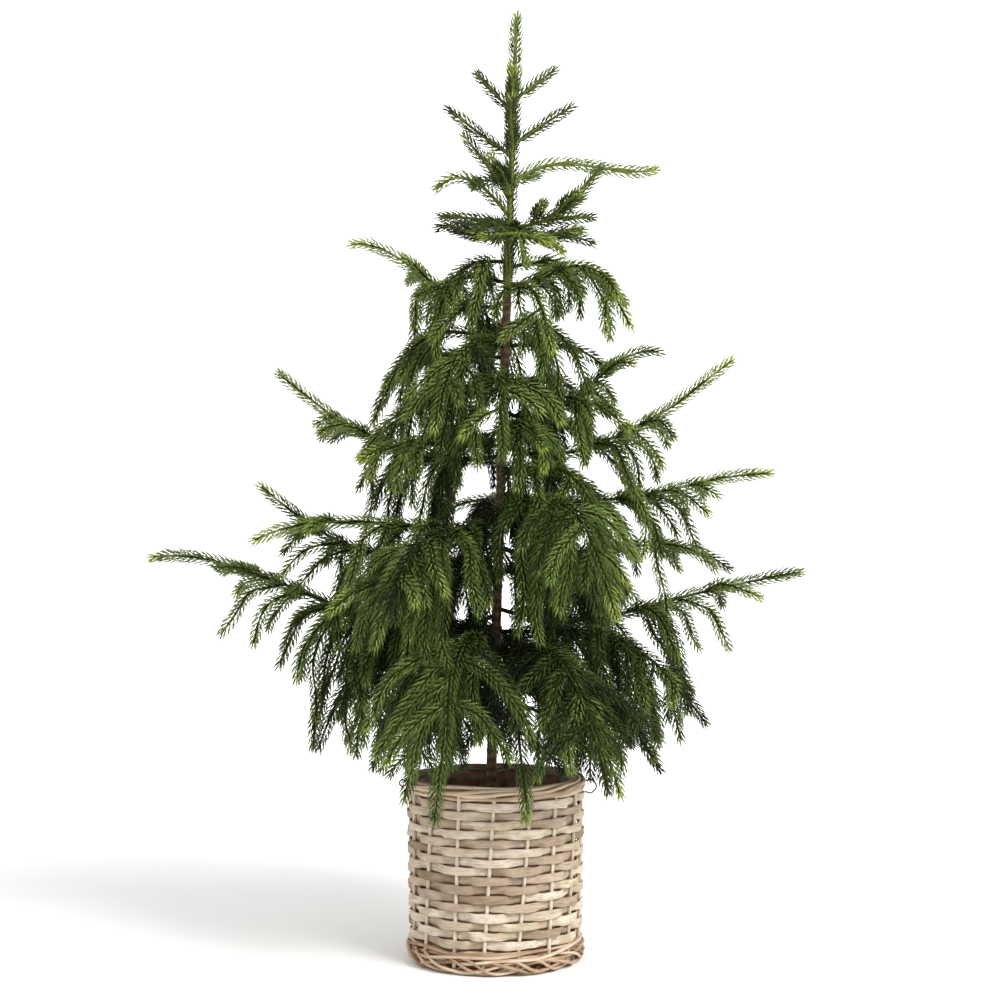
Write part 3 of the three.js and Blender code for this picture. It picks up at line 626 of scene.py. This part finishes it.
# Crown: boughs and side sprays
# Steel wires wrapped in green moulded sprays are twisted onto the trunk in eight tiers, under a leader.
# Side sprays hang from each bough by a seeded rule that keeps them off the rest. Three boughs, tier4_bough1,
# tier5_bough2 and tier6_bough3, are bent up to 8 mm otherwise than their solids.
DROOP = 0.97
TIER_BOUGHS = {  # height, azimuth, reach, rises at each third of the way, bare tip, and droop if not DROOP
    "leader": [(738, -6, 138, (21, 16, 13), 150, 0.3), (722, 176, 44, (28, 46, 64), 60, 0.2),
        (732, 95, 84, (14, 24, 30), 55, 0.3), (727, -104, 62, (12, 18, 20), 50, 0.3),
        (700, -22, 92, (3, 20, 48), 60, 0.3), (708, 170, 70, (28, 40, 31), 46, 0.3),
        (690, 22, 86, (2, 4, -2), 48, 0.5), (691, 192, 68, (-3, 4, 6), 46, 0.4),
        (698, 112, 95, (8, 12, 6), 50, 0.4), (694, -78, 74, (0, -8, -36), 40, 0.6)],
    "tier1": [(628, 178, 147, (3, 37, 56), 86, 0.5), (645, -12, 118, (8, 12, -42), 56, 0.9),
        (666, 208, 84, (-2, -18, -70), 46, 0.9), (660, 50, 112, (8, 6, -14), 56, 0.8),
        (634, -66, 98, (4, -10, -60), 46), (645, 132, 120, (10, 10, -14), 56, 0.8)],
    "tier2": [(596, 190, 128, (2, -10, -84), 60, 0.95), (585, 24, 108, (4, 2, -20), 56, 0.9),
        (605, -42, 104, (2, -16, -70), 50), (585, 236, 118, (2, -14, -84), 54),
        (598, 90, 145, (10, 8, -22), 66, 0.9), (575, 148, 145, (4, 2, -40), 66, 0.95)],
    "tier3": [(524, 4, 150, (0, 38, 56), 70, 0.9), (534, -30, 132, (4, -4, -30), 60),
        (548, 52, 135, (6, 8, -20), 66, 0.9), (545, 206, 138, (-2, -14, -84), 56),
        (552, -92, 126, (0, -14, -76), 54)],
    "tier4": [(490, -5, 218, (-5, 27, 79), 108, 0.9), (481, 180, 213, (-2, 25, 77), 84, 0.95),
        (490, 222, 168, (0, 0, -16), 56), (470, -44, 146, (-2, -16, -116), 66),
        (500, -76, 140, (5, 2, -14), 56), (508, 62, 178, (6, 10, -4), 76, 0.95),
        (495, 122, 185, (6, 8, -14), 76, 0.95)],
    "tier5": [(444, 2, 258, (-8, 6, 20), 80, 0.9), (380, 178, 228, (-2, 18, 71), 80, 0.95),
        (418, 198, 236, (-6, 0, -18), 80, 0.95), (430, 92, 225, (6, 8, -16), 86),
        (436, -60, 200, (0, -10, -100), 70), (407, -122, 205, (0, -12, -96), 70)],
    "tier6": [(392, 16, 236, (-5, 2, -22), 66, 0.95), (334, 0, 290, (-8, 14, 34), 96, 0.95),
        (328, 180, 329, (-8, 35, 54), 110), (364, 225, 208, (0, 0, -24), 60),
        (368, 58, 240, (4, 2, -34), 86)],
    "tier7": [(312, -22, 206, (2, -12, -78), 66), (297, -60, 198, (2, -14, -112), 70),
        (318, 206, 180, (0, -10, -106), 66), (305, -104, 205, (4, -12, -140), 80),
        (314, 132, 226, (2, -6, -70), 86), (300, 88, 205, (2, -8, -90), 80)],
    "tier8": [(268, 2, 158, (2, -16, -88), 60), (270, 178, 116, (4, -10, -88), 50),
        (256, 232, 128, (4, -8, -90), 50), (266, -78, 133, (6, -6, -112), 56),
        (272, 48, 168, (4, -10, -86), 60), (262, 112, 150, (4, -8, -80), 60),
        (256, -34, 140, (4, -10, -88), 56)]}
BOUGHS = [(tier if tier == "leader" else f"{tier}_bough{number}", *bough, DROOP)[:7]
          for tier, boughs in TIER_BOUGHS.items() for number, bough in enumerate(boughs, 1)]
LEADER_SPRAYS = [  # height, azimuth, length, rise in degrees
    (809, 180, 50, 46), (820, 0, 48, 37), (812, 90, 46, 40), (815, -90, 44, 40),
    (767, 180, 75, 35), (778, 0, 67, 32), (770, 90, 70, 32), (774, -90, 66, 32)]
SEED_STEP = 101
SAMPLE = 6
MOST_SAMPLES = 20000
BOUGH_FOOT = 18
BOUGH_STEPS = 60
TRIES = 8
TRUNK_CLEAR = 11.5
NEAR = 12
KEEP_OFF_R = 98
KEEP_OFF_Z = 184
SPRAY_START = 12
BEND_AT_TIP = 0.3
BEND_GAIN = 0.9
MOST_BEND = 0.97
LEADER_SPRAY_DROOP = -0.05
LEADER_TONE = -0.28
LEADER_FOOT_Z = TRUNK_TOP_Z + 0.3
STEM_NEEDLES_Z = 645
# the side sprays, longer ones that arch down between them where there is room left, and last the short
# ones that fill the inside by the trunk
RULES = {  # side, hanging, inner
    "start": (0, 8, 6), "step": (25, 16, 25), "seed": (7, 11, 29), "growth": (0.6, 0.9, 0.9),
    "lengths": ((40, 128), (75, 160), (45, 105)), "share": ((0.72, 1.17), (0.75, 1.15), (0.75, 1.15)),
    "spread": ((38, 64), (10, 70), (25, 100)), "lift": ((-0.15, 0.3), (-0.5, 0.2), (-0.7, 0.15)),
    "bend": ((0.8, 1.2), (0.94, 1.2), (0.9, 1.2)), "least_bend": (0, 0.88, 0.8), "knee": (0.5, 0.33, 0.4),
    "clear": (11.5, 8.5, 7.5), "own_clear": (10, 8.5, 7.5), "skirt": ((1000, 0), (82, 0.24), (34, 0.13)),
    # tone: painted light on the hanging sprays, which are dealt lighter shades, and painted shade on the
    # inner ones by the trunk, which are dealt darker
    "lowest": (0, 192, 192), "openings": (0, 1, 1), "tone": (0, 0.09, -0.1)}
SIDE, HANGING, INNER = ({term: values[i] for term, values in RULES.items()} for i in range(3))
SKIRT_TOP_Z = 700
# where the crown is open to the light behind it or to the trunk, seen from the front: x, height, radius
OPENINGS = np.array([
    (79, 589, 20), (-19, 456, 13), (103, 507, 11), (73, 551, 10), (-61, 486, 10), (129, 376, 9),
    (132, 321, 8), (-31, 426, 7), (-33, 598, 7), (118, 455, 7), (97, 453, 6), (-120, 397, 7),
    (-108, 524, 12), (-17, 191, 7),
    (33, 575, 6), (118, 429, 6), (93, 621, 6), (73, 477, 6), (85, 406, 6), (-137, 418, 10), (12, 355, 5),
    (10, 620, 10), (6, 533, 8), (5, 486, 8), (6, 332, 9), (5, 299, 9), (2, 265, 8), (-5, 184, 8),
    (-153, 256, 7), (-154, 227, 8), (-159, 203, 12), (30, 197, 7), (30, 246, 7)])
OPENING_EDGE = 4
# the sky that is seen past the side sprays too, and the trunk's foot with the light to both sides of it
SKY = np.array([
    (79, 588, 14), (-18, 455, 10), (196, 368, 9), (-108, 524, 9), (102, 506, 9), (73, 550, 8), (-136, 418, 9),
    (128, 375, 7), (33, 636, 7), (176, 350, 7), (-31, 425, 7), (118, 454, 6), (-33, 598, 6), (131, 321, 7),
    (97, 453, 6), (-119, 397, 6), (33, 574, 6), (-23, 642, 6), (161, 250, 5), (36, 659, 5), (117, 429, 5),
    (84, 405, 5), (72, 476, 6), (-97, 566, 4), (-32, 342, 4), (-71, 184, 4), (12, 355, 4), (-61, 485, 5),
    (-195, 216, 17), (-19, 190, 10), (-6, 193, 10), (29, 190, 10)])
UP = np.array([0, 0, 1])


def seeded_numbers(seed):
    """Numbers from 0 to 1: the state is multiplied by 16807 and reduced by 2147483647 each time."""
    state = seed
    while True:
        state = state * 16807 % 2147483647
        yield state / 2147483647


def draw(numbers, span):
    """The next number, spread over a span."""
    return span[0] + (span[1] - span[0]) * next(numbers)


def unit(vector):
    """Vectors over their own lengths."""
    return vector / np.linalg.norm(vector, axis=-1, keepdims=True)


def bezier(controls, t):
    """Points of a Bezier curve: its controls, each weighted by its Bernstein term."""
    degree = len(controls) - 1
    t = np.asarray(t, float)[:, None]
    return sum(math.comb(degree, i) * t ** i * (1 - t) ** (degree - i) * control
               for i, control in enumerate(controls))


def bearing(azimuth, rise=0):
    """The direction at an azimuth and a rise, both in degrees."""
    a, b = math.radians(azimuth), math.radians(rise)
    return np.array([math.cos(b) * math.cos(a), math.cos(b) * math.sin(a), math.sin(b)])


def bough_curve(height, azimuth, reach, rises):
    """The cubic Bezier curve that passes the foot, two knees and the tip at thirds of its parameter."""
    foot = trunk_axis(height)
    knees = [foot + bearing(azimuth) * reach * (i + 1) / 3 + UP * rise for i, rise in enumerate(rises)]
    passed = np.array([foot, *knees])
    return np.array([foot, np.array([-5, 18, -9, 2]) @ passed / 6,
                     np.array([2, -9, 18, -5]) @ passed / 6, knees[2]])


def spray_curve(foot, heading, length, droop, knee_share=0.5):
    """A quadratic Bezier curve that leaves along its heading and bends towards the ground by its droop."""
    bent = unit(heading * (1 - droop) - UP * droop)
    knee = foot + heading * length * knee_share
    return np.array([foot, knee, knee + bent * length * (1 - knee_share)])


def samples(curve, length):
    """Points of a curve at even steps of its parameter, some SAMPLE apart."""
    steps = max(4, math.floor(length / SAMPLE + 0.5))
    return bezier(curve, np.arange(steps + 1) / steps)


class Room:
    """The sample points of every rope that is placed, with the number of its mass."""

    def __init__(self):
        self.points = np.zeros((MOST_SAMPLES, 3))
        self.masses = np.zeros(MOST_SAMPLES, int)
        self.count = 0

    def take(self, points, mass):
        """Adds the points of one rope."""
        end = self.count + len(points)
        self.points[self.count:end] = points
        self.masses[self.count:end] = mass
        self.count = end

    def least(self, points, mass, same):
        """Least distance of the points from those of the same mass, or of the others, among the near ones."""
        others = self.points[:self.count]
        near = ((others > points.min(0) - NEAR) & (others < points.max(0) + NEAR)).all(1)
        others = others[near & ((self.masses[:self.count] == mass) == same)]
        if not len(others):
            return math.inf
        return math.sqrt(((points[:, None] - others) ** 2).sum(-1).min())


def off_trunk(points):
    """Level distances of the points from the trunk's middle."""
    return np.hypot(points[:, 0] - AXIS_X - LEAN * points[:, 2], points[:, 1])


def run_along(points):
    """The running length at each point of a line: the sum of the steps before it."""
    return np.concatenate([[0], np.cumsum(np.linalg.norm(np.diff(points, axis=0), axis=1))])


def off_circles(points, circles):
    """Distances of the points from the middles of circles in the trunk's plane, as the camera sees them."""
    seen = CAMERA_AT + (points - CAMERA_AT) * (CAMERA_AT[1] / (CAMERA_AT[1] - points[:, 1:2]))
    return np.hypot(seen[:, :1] - circles[:, 0], seen[:, 2:] - circles[:, 1])


def is_free(room, points, mass, rule):
    """True where a spray keeps clear of the trunk, the basket and the other ropes, within the rule's skirt,
    whose radius about the trunk grows evenly downwards, and out of the openings."""
    free = points[2:]
    outer = points[max(2, (len(points) - 1) // 2):]
    from_trunk = off_trunk(free)
    skirt, skirt_growth = rule["skirt"]
    in_opening = off_circles(free, OPENINGS) < (OPENINGS[:, 2] + OPENING_EDGE) * rule["openings"]
    barred = (from_trunk < TRUNK_CLEAR) | (free[:, 2] < rule["lowest"]) | in_opening.any(1)
    barred |= (free[:, 2] < KEEP_OFF_Z) & (np.hypot(free[:, 0], free[:, 1]) < KEEP_OFF_R)
    barred |= from_trunk > skirt + skirt_growth * (SKIRT_TOP_Z - free[:, 2])
    return (not barred.any() and room.least(free, mass, False) >= rule["clear"]
            and room.least(outer, mass, True) >= rule["own_clear"])


def sprays_of(room, bough, index, mass, rule):
    """The pairs of sprays along one bough by a rule, from its bare tip back to its foot."""
    _, height, azimuth, reach, rises, bare_tip, droop = bough
    numbers = seeded_numbers(rule["seed"] + SEED_STEP * (index + 1))
    fine = bezier(bough_curve(height, azimuth, reach, rises), np.arange(BOUGH_STEPS + 1) / BOUGH_STEPS)
    run = run_along(fine)
    grown = []
    for from_tip in np.arange(bare_tip + rule["start"], run[-1] - BOUGH_FOOT, rule["step"]):
        j = int(np.argmax(run >= run[-1] - from_tip))
        tangent = unit(fine[min(j + 1, BOUGH_STEPS)] - fine[max(j - 1, 0)])
        side = unit(np.cross(UP, tangent))
        inward = (from_tip - bare_tip) / (run[-1] - bare_tip + 1)
        for sign in (1, -1):
            grown_to = np.clip(SPRAY_START + rule["growth"] * from_tip, *rule["lengths"])
            length = grown_to * draw(numbers, rule["share"])
            for _ in range(TRIES):
                spread = math.radians(draw(numbers, rule["spread"]))
                lift = draw(numbers, rule["lift"])
                pull = max(rule["least_bend"], droop * (BEND_AT_TIP + BEND_GAIN * inward))
                bend = min(MOST_BEND, pull * draw(numbers, rule["bend"]))
                heading = unit(tangent * math.cos(spread) + side * sign * math.sin(spread) + UP * lift)
                curve = spray_curve(fine[j], heading, length, bend, rule["knee"])
                points = samples(curve, length)
                if is_free(room, points, mass, rule):
                    room.take(points[1:], mass)
                    grown.append((curve, np.cross(heading, UP)))
                    break
    return grown


def grow_crown():
    """Every rope as its mass, kind, Bezier controls, the level direction square to its plane and its tone."""
    masses = {bough[0]: number for number, bough in enumerate(BOUGHS)}
    room, ropes = Room(), []
    for name, height, azimuth, reach, rises, *_ in BOUGHS:
        curve = bough_curve(height, azimuth, reach, rises)
        room.take(samples(curve, reach)[1:], masses[name])
        ropes.append((name, "bough", curve, np.cross(bearing(azimuth), UP),
                      LEADER_TONE if name == "leader" else 0))
    leader = trunk_axis([LEADER_FOOT_Z, HEIGHT])
    room.take(samples(leader, HEIGHT - TRUNK_TOP_Z), masses["leader"])
    ropes.append(("leader", "leader", leader, np.array([0, 1, 0]), 0))
    stem = trunk_axis([STEM_NEEDLES_Z, LEADER_FOOT_Z])
    ropes.append(("leader", "stem", stem, np.array([0, 1, 0]), LEADER_TONE))
    for height, azimuth, length, rise in LEADER_SPRAYS:
        heading = bearing(azimuth, rise)
        curve = spray_curve(trunk_axis(height), heading, length, LEADER_SPRAY_DROOP)
        room.take(samples(curve, length), masses["leader"])
        ropes.append(("leader", "twig", curve, np.cross(heading, UP), LEADER_TONE))
    for rule in (SIDE, HANGING, INNER):
        for index, bough in enumerate(BOUGHS):
            name = bough[0]
            kind, tone = ("twig", LEADER_TONE) if name == "leader" else ("spray", rule["tone"])
            if rule is SIDE or name != "leader":
                ropes += [(name, kind, curve, across, tone) for curve, across in
                          sprays_of(room, bough, index, masses[name], rule)]
    return ropes


def by_kind(*values):
    """A table of one value for each kind of rope."""
    return dict(zip(("stem", "leader", "twig", "bough", "spray"), values))


# how far a rope sways off its curve to either side, how long one wave of it is, and the share of a level
# rope's length by which its tip sags; upright, the sway is smaller and its wave longer
SWAY = by_kind(0, 0, 0.8, 1.2, 3.2)
SWAY_MM = by_kind(100, 100, 80, 110, 78)
SAG = by_kind(0, 0, 0, 0, 0.26)
SWAY_START = 30
OVER_SHARE, OVER_RATE = 0.6, 0.8
PATH_POINTS = 65


def rope_path(kind, curve, across):
    """The points of a rope and its running length at each. It sways off its curve across and square to
    that, by two sines that grow from nothing over its first part and whose phase is the sum of its tip's
    coordinates, and sags by the square of the way along it."""
    t = np.linspace(0, 1, PATH_POINTS)
    path = bezier(curve, t)
    run = run_along(path)[:, None]
    over = np.cross(unit(across), unit(bezier(np.diff(curve, axis=0), t)))
    grown = SWAY[kind] * np.minimum(run / SWAY_START, 1)
    wave = math.tau * run / SWAY_MM[kind] + curve[-1].sum()
    path = (path + grown * (np.sin(wave) - math.sin(wave[0, 0])) * unit(across)
            + OVER_SHARE * grown * np.sin(OVER_RATE * wave) * over)
    level = 1 - abs(unit(curve[-1] - curve[0])[2])
    path = path - UP * SAG[kind] * level * run[-1] * t[:, None] ** 2
    return path, run_along(path)


tiers = {}
for rope in grow_crown():
    hides_sky = (off_circles(rope_path(*rope[1:4])[0], SKY) < SKY[:, 2]).any()
    if not (rope[1] == "spray" and hides_sky):
        tiers.setdefault(rope[0].split("_")[0], []).append(rope)


def along_path(path, run, places):
    """Middles and directions at places measured along a rope, by interpolation between its points."""
    return tuple(np.stack([np.interp(places, run, values[:, k]) for k in range(3)], -1)
                 for values in (path, unit(np.gradient(path, axis=0))))


# the wires' own wrap, dark green moulded polythene, is seen only between the needles
wrap = finish_material(empty_material("moulded_green_wrap"), {
    "Base Color": linear("#2a3512"), "Roughness": 0.8, "Specular IOR Level": 0.1})
# the leader's wrap is this year's growth, a lighter green
leader_wrap = finish_material(empty_material("moulded_young_wrap"), {
    "Base Color": linear("#74803a"), "Roughness": 0.8, "Specular IOR Level": 0.1})
CORE_R = by_kind((5.1, 4.9), (3.4, 1.8), (1.8, 1.2), (2.2, 1.1), (1.6, 0.9))
CORE_STATIONS, CORE_SIDES = 18, 5
for tier, grown in tiers.items():
    paths = [rope_path(*rope[1:4]) for rope in grown]
    middles = np.stack([along_path(path, run, np.linspace(0, run[-1], CORE_STATIONS))[0]
                        for path, run in paths])
    sideways = unit(np.stack([across for _, _, _, across, _ in grown]))
    ends = np.array([CORE_R[kind] for _, kind, _, _, _ in grown])
    radii = ends[:, :1] + (ends[:, 1:] - ends[:, :1]) * np.linspace(0, 1, CORE_STATIONS)
    points, faces = rods_along(middles, sideways, radii, CORE_SIDES)
    cores = new_piece("wires_" + tier, points, faces, leader_wrap if tier == "leader" else wrap)
    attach(cores, "root")
    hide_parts(*sorted({name for name, *_ in grown}))

# Crown: needles
# Short curved needles of moulded polythene stand round every wire in close whorls, and point to its tip. They
# are three-sided, pointed at both ends, 14 to 15 mm long and 1.6 to 1.7 mm wide. New growth at some tips is
# light. A stem is the green top of the trunk, below the leader.
# The needles' greens carry painted shade and light: darker inside the crown and low down, lighter at its edge
# and top.
NEEDLE_LENGTH = by_kind(14, 15, 14.4, 14.8, 14.3)
NEEDLE_HALF_W = by_kind(0.85, 0.85, 0.85, 0.86, 0.8)
NEEDLE_T = 0.9
WHORL = 5
WHORL_PITCH = by_kind(2.3, 2.6, 2.7, 2.9, 3.3)
FIRST_WHORL = 0.2
PLACE_SPAN = (-0.2, 0.2)
TURN_SPAN = (-0.09, 0.09)
SIZE_SPAN = (0.92, 1.08)
SPLAY_SPAN = (0.93, 1.07)
TWIST_MM = 90
SPLAY_DEG = (50, 27)
ROOT_SHARE = 0.6
KNEE_SHARE = 0.36
CLOSER_AT_TIP = 0.7
TIP_ZONE = 18
SHORT_SHARE = 0.75
BARE_FOOT = by_kind(0, 0, 4, 9, 3)
RIM_CLEAR_Z, RIM_CLEAR_R, BARK_CLEAR = 177, 91, 1
# a rope's score rises with how far out and how high it is, which paints light on the outer and upper ropes
# and shade on the inner and lower ones, and by luck; the scores at which the shades change
PAINTED_LIGHT_OUT_WEIGHT, PAINTED_LIGHT_HIGH_WEIGHT, LUCK_WEIGHT, SCORE_OFFSET = 0.5, 0.45, 0.36, 0.03
SHADE_SCORES = (0.29, 0.43, 0.6)
SCORE_SPREAD = 0.055
LEAST_SCORE = by_kind(0.4, 0.4, 0.4, 0, 0)
# painted light: ropes whose tips hang low, in front of the basket, get at least this score and so a lighter
# shade than the shade there gives them
LOW_TIP_Z = 175
LOW_TIP_PAINTED_LIGHT_SCORE = 0.48
CROWN_FOOT_Z, CROWN_TOP_Z, CROWN_R, CROWN_MARGIN = 150, 920, 330, 20
# how long the lighter tips of a kind may be, and by how many shades they are lighter
LIGHT_ZONE = by_kind(1, 90, 30, 60, 24)
TIP_SHADES = by_kind(0, 2, 2, 2, 1)
# moulded polythene: waxy, half matt; each colour is one plain green, dealt out spray by spray: the darker
# ones are painted shade inside the crown and low down, the lighter ones painted light at its edge and top,
# and the lightest is also the new growth
NEEDLE_TONES_AND_PAINTED_SHADE = {
    "deep": "#1a210c", "dark": "#313c16", "middle": "#506128", "bright": "#70823f", "light": "#929f48"}
needle_plastic = {
    kind: finish_material(empty_material("moulded_needle_tone_and_painted_shade_" + kind), {
        "Base Color": linear(colour), "Roughness": 0.55, "Specular IOR Level": 0.22})
    for kind, colour in NEEDLE_TONES_AND_PAINTED_SHADE.items()}
KINDS = list(NEEDLE_TONES_AND_PAINTED_SHADE)


def needle_points(kind, curve, across):
    """Five points for each needle of a rope: its root, three at its knee and its tip. The root stands at its
    angle round the wire, the first part leans out by the first splay and the second by less. Each whorl is
    turned by half a step against the last."""
    path, run = rope_path(kind, curve, across)
    length = run[-1]
    whorls = int((length - BARE_FOOT[kind]) / WHORL_PITCH[kind])
    count = whorls * WHORL
    number, row = np.divmod(np.arange(count), WHORL)
    places = length - (number + FIRST_WHORL) * WHORL_PITCH[kind] + rng.uniform(*PLACE_SPAN, count)
    middle, tangent = along_path(path, run, places)
    over = unit(np.cross(across, tangent))
    across = np.cross(tangent, over)
    angle = (rng.uniform(0, 6.3) + (row + number % 2 / 2) * math.tau / WHORL + places / TWIST_MM
             + rng.uniform(*TURN_SPAN, count))[:, None]
    radial = np.cos(angle) * across + np.sin(angle) * over
    left = length - places
    grown = np.clip(left / TIP_ZONE, 0, 1)[:, None]
    full = NEEDLE_LENGTH[kind] * (SHORT_SHARE + (1 - SHORT_SHARE) * grown)
    size = full * rng.uniform(*SIZE_SPAN, (count, 1))
    close = CLOSER_AT_TIP + (1 - CLOSER_AT_TIP) * grown
    splays = [np.radians(degrees) * close * rng.uniform(*SPLAY_SPAN, (count, 1)) for degrees in SPLAY_DEG]
    first, second = (tangent * np.cos(splay) + radial * np.sin(splay) for splay in splays)
    core = CORE_R[kind][0] + (CORE_R[kind][1] - CORE_R[kind][0]) * (places / length)[:, None]
    root = middle + radial * core * ROOT_SHARE
    knee = root + first * size * KNEE_SHARE
    tip = knee + second * size * (1 - KNEE_SHARE)
    wide = unit(np.cross(first, radial)) * NEEDLE_HALF_W[kind]
    back = unit(np.cross(wide, first)) * NEEDLE_T
    ring = [wide, -wide, back * np.sign((back * radial).sum(1, keepdims=True))]
    points = np.stack([root, *[knee + corner for corner in ring], tip], 1)
    over_basket = (tip[:, 2] < RIM_CLEAR_Z) & (np.hypot(tip[:, 0], tip[:, 1]) < RIM_CLEAR_R)
    on_trunk = (off_trunk(tip) < TRUNK_FOOT_R + BARK_CLEAR) & (tip[:, 2] < TRUNK_TOP_Z) & (kind != "stem")
    return points, left, ~over_basket & ~on_trunk


def deal_shades_and_painted_light(curve, kind, tone, left):
    """The shade of each needle: by its rope's score, which is painted light on ropes far out, high up or with
    low tips and painted shade on those inside and low, and a shade or two lighter in the growing tips of some
    ropes."""
    middle = bezier(curve, [0.6])
    height = middle[0, 2]
    crown_r = CROWN_R * (1 - (height - CROWN_FOOT_Z) / (CROWN_TOP_Z - CROWN_FOOT_Z)) + CROWN_MARGIN
    outer = off_trunk(middle)[0] / crown_r
    score = (PAINTED_LIGHT_OUT_WEIGHT * min(outer, 1) + PAINTED_LIGHT_HIGH_WEIGHT * (height / HEIGHT) ** 2
             + LUCK_WEIGHT * rng.uniform() - SCORE_OFFSET + tone)
    score = max(score, LOW_TIP_PAINTED_LIGHT_SCORE if curve[-1][2] < LOW_TIP_Z else LEAST_SCORE[kind])
    dealt = np.digitize(score + rng.normal(0, SCORE_SPREAD, len(left)), SHADE_SCORES)
    zone = LIGHT_ZONE[kind] * max(rng.uniform(-0.6, 1), 0.01)
    light = rng.uniform(0, 1, len(left)) > left / zone
    return np.where(light, np.minimum(dealt + TIP_SHADES[kind], len(KINDS) - 1), dealt)


# three faces from the root to the knee and three from there to the tip
NEEDLE_FACES = np.array([(0, 2, 1), (0, 3, 2), (0, 1, 3), (1, 2, 4), (2, 3, 4), (3, 1, 4)])
for tier, grown in tiers.items():
    points, dealt = [], []
    for _, kind, curve, across, tone in grown:
        placed, left, kept = needle_points(kind, curve, across)
        points.append(placed[kept])
        dealt.append(deal_shades_and_painted_light(curve, kind, tone, left)[kept])
    points, dealt = np.concatenate(points), np.concatenate(dealt)
    for number, colour in enumerate(KINDS):
        own = points[dealt == number]
        faces = (NEEDLE_FACES + np.arange(len(own))[:, None, None] * 5).reshape(-1, 3)
        needles = new_piece(f"needles_{tier}_{colour}", own, faces, needle_plastic[colour])
        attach(needles, "root")
        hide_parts(*sorted({name for name, *_ in grown}))
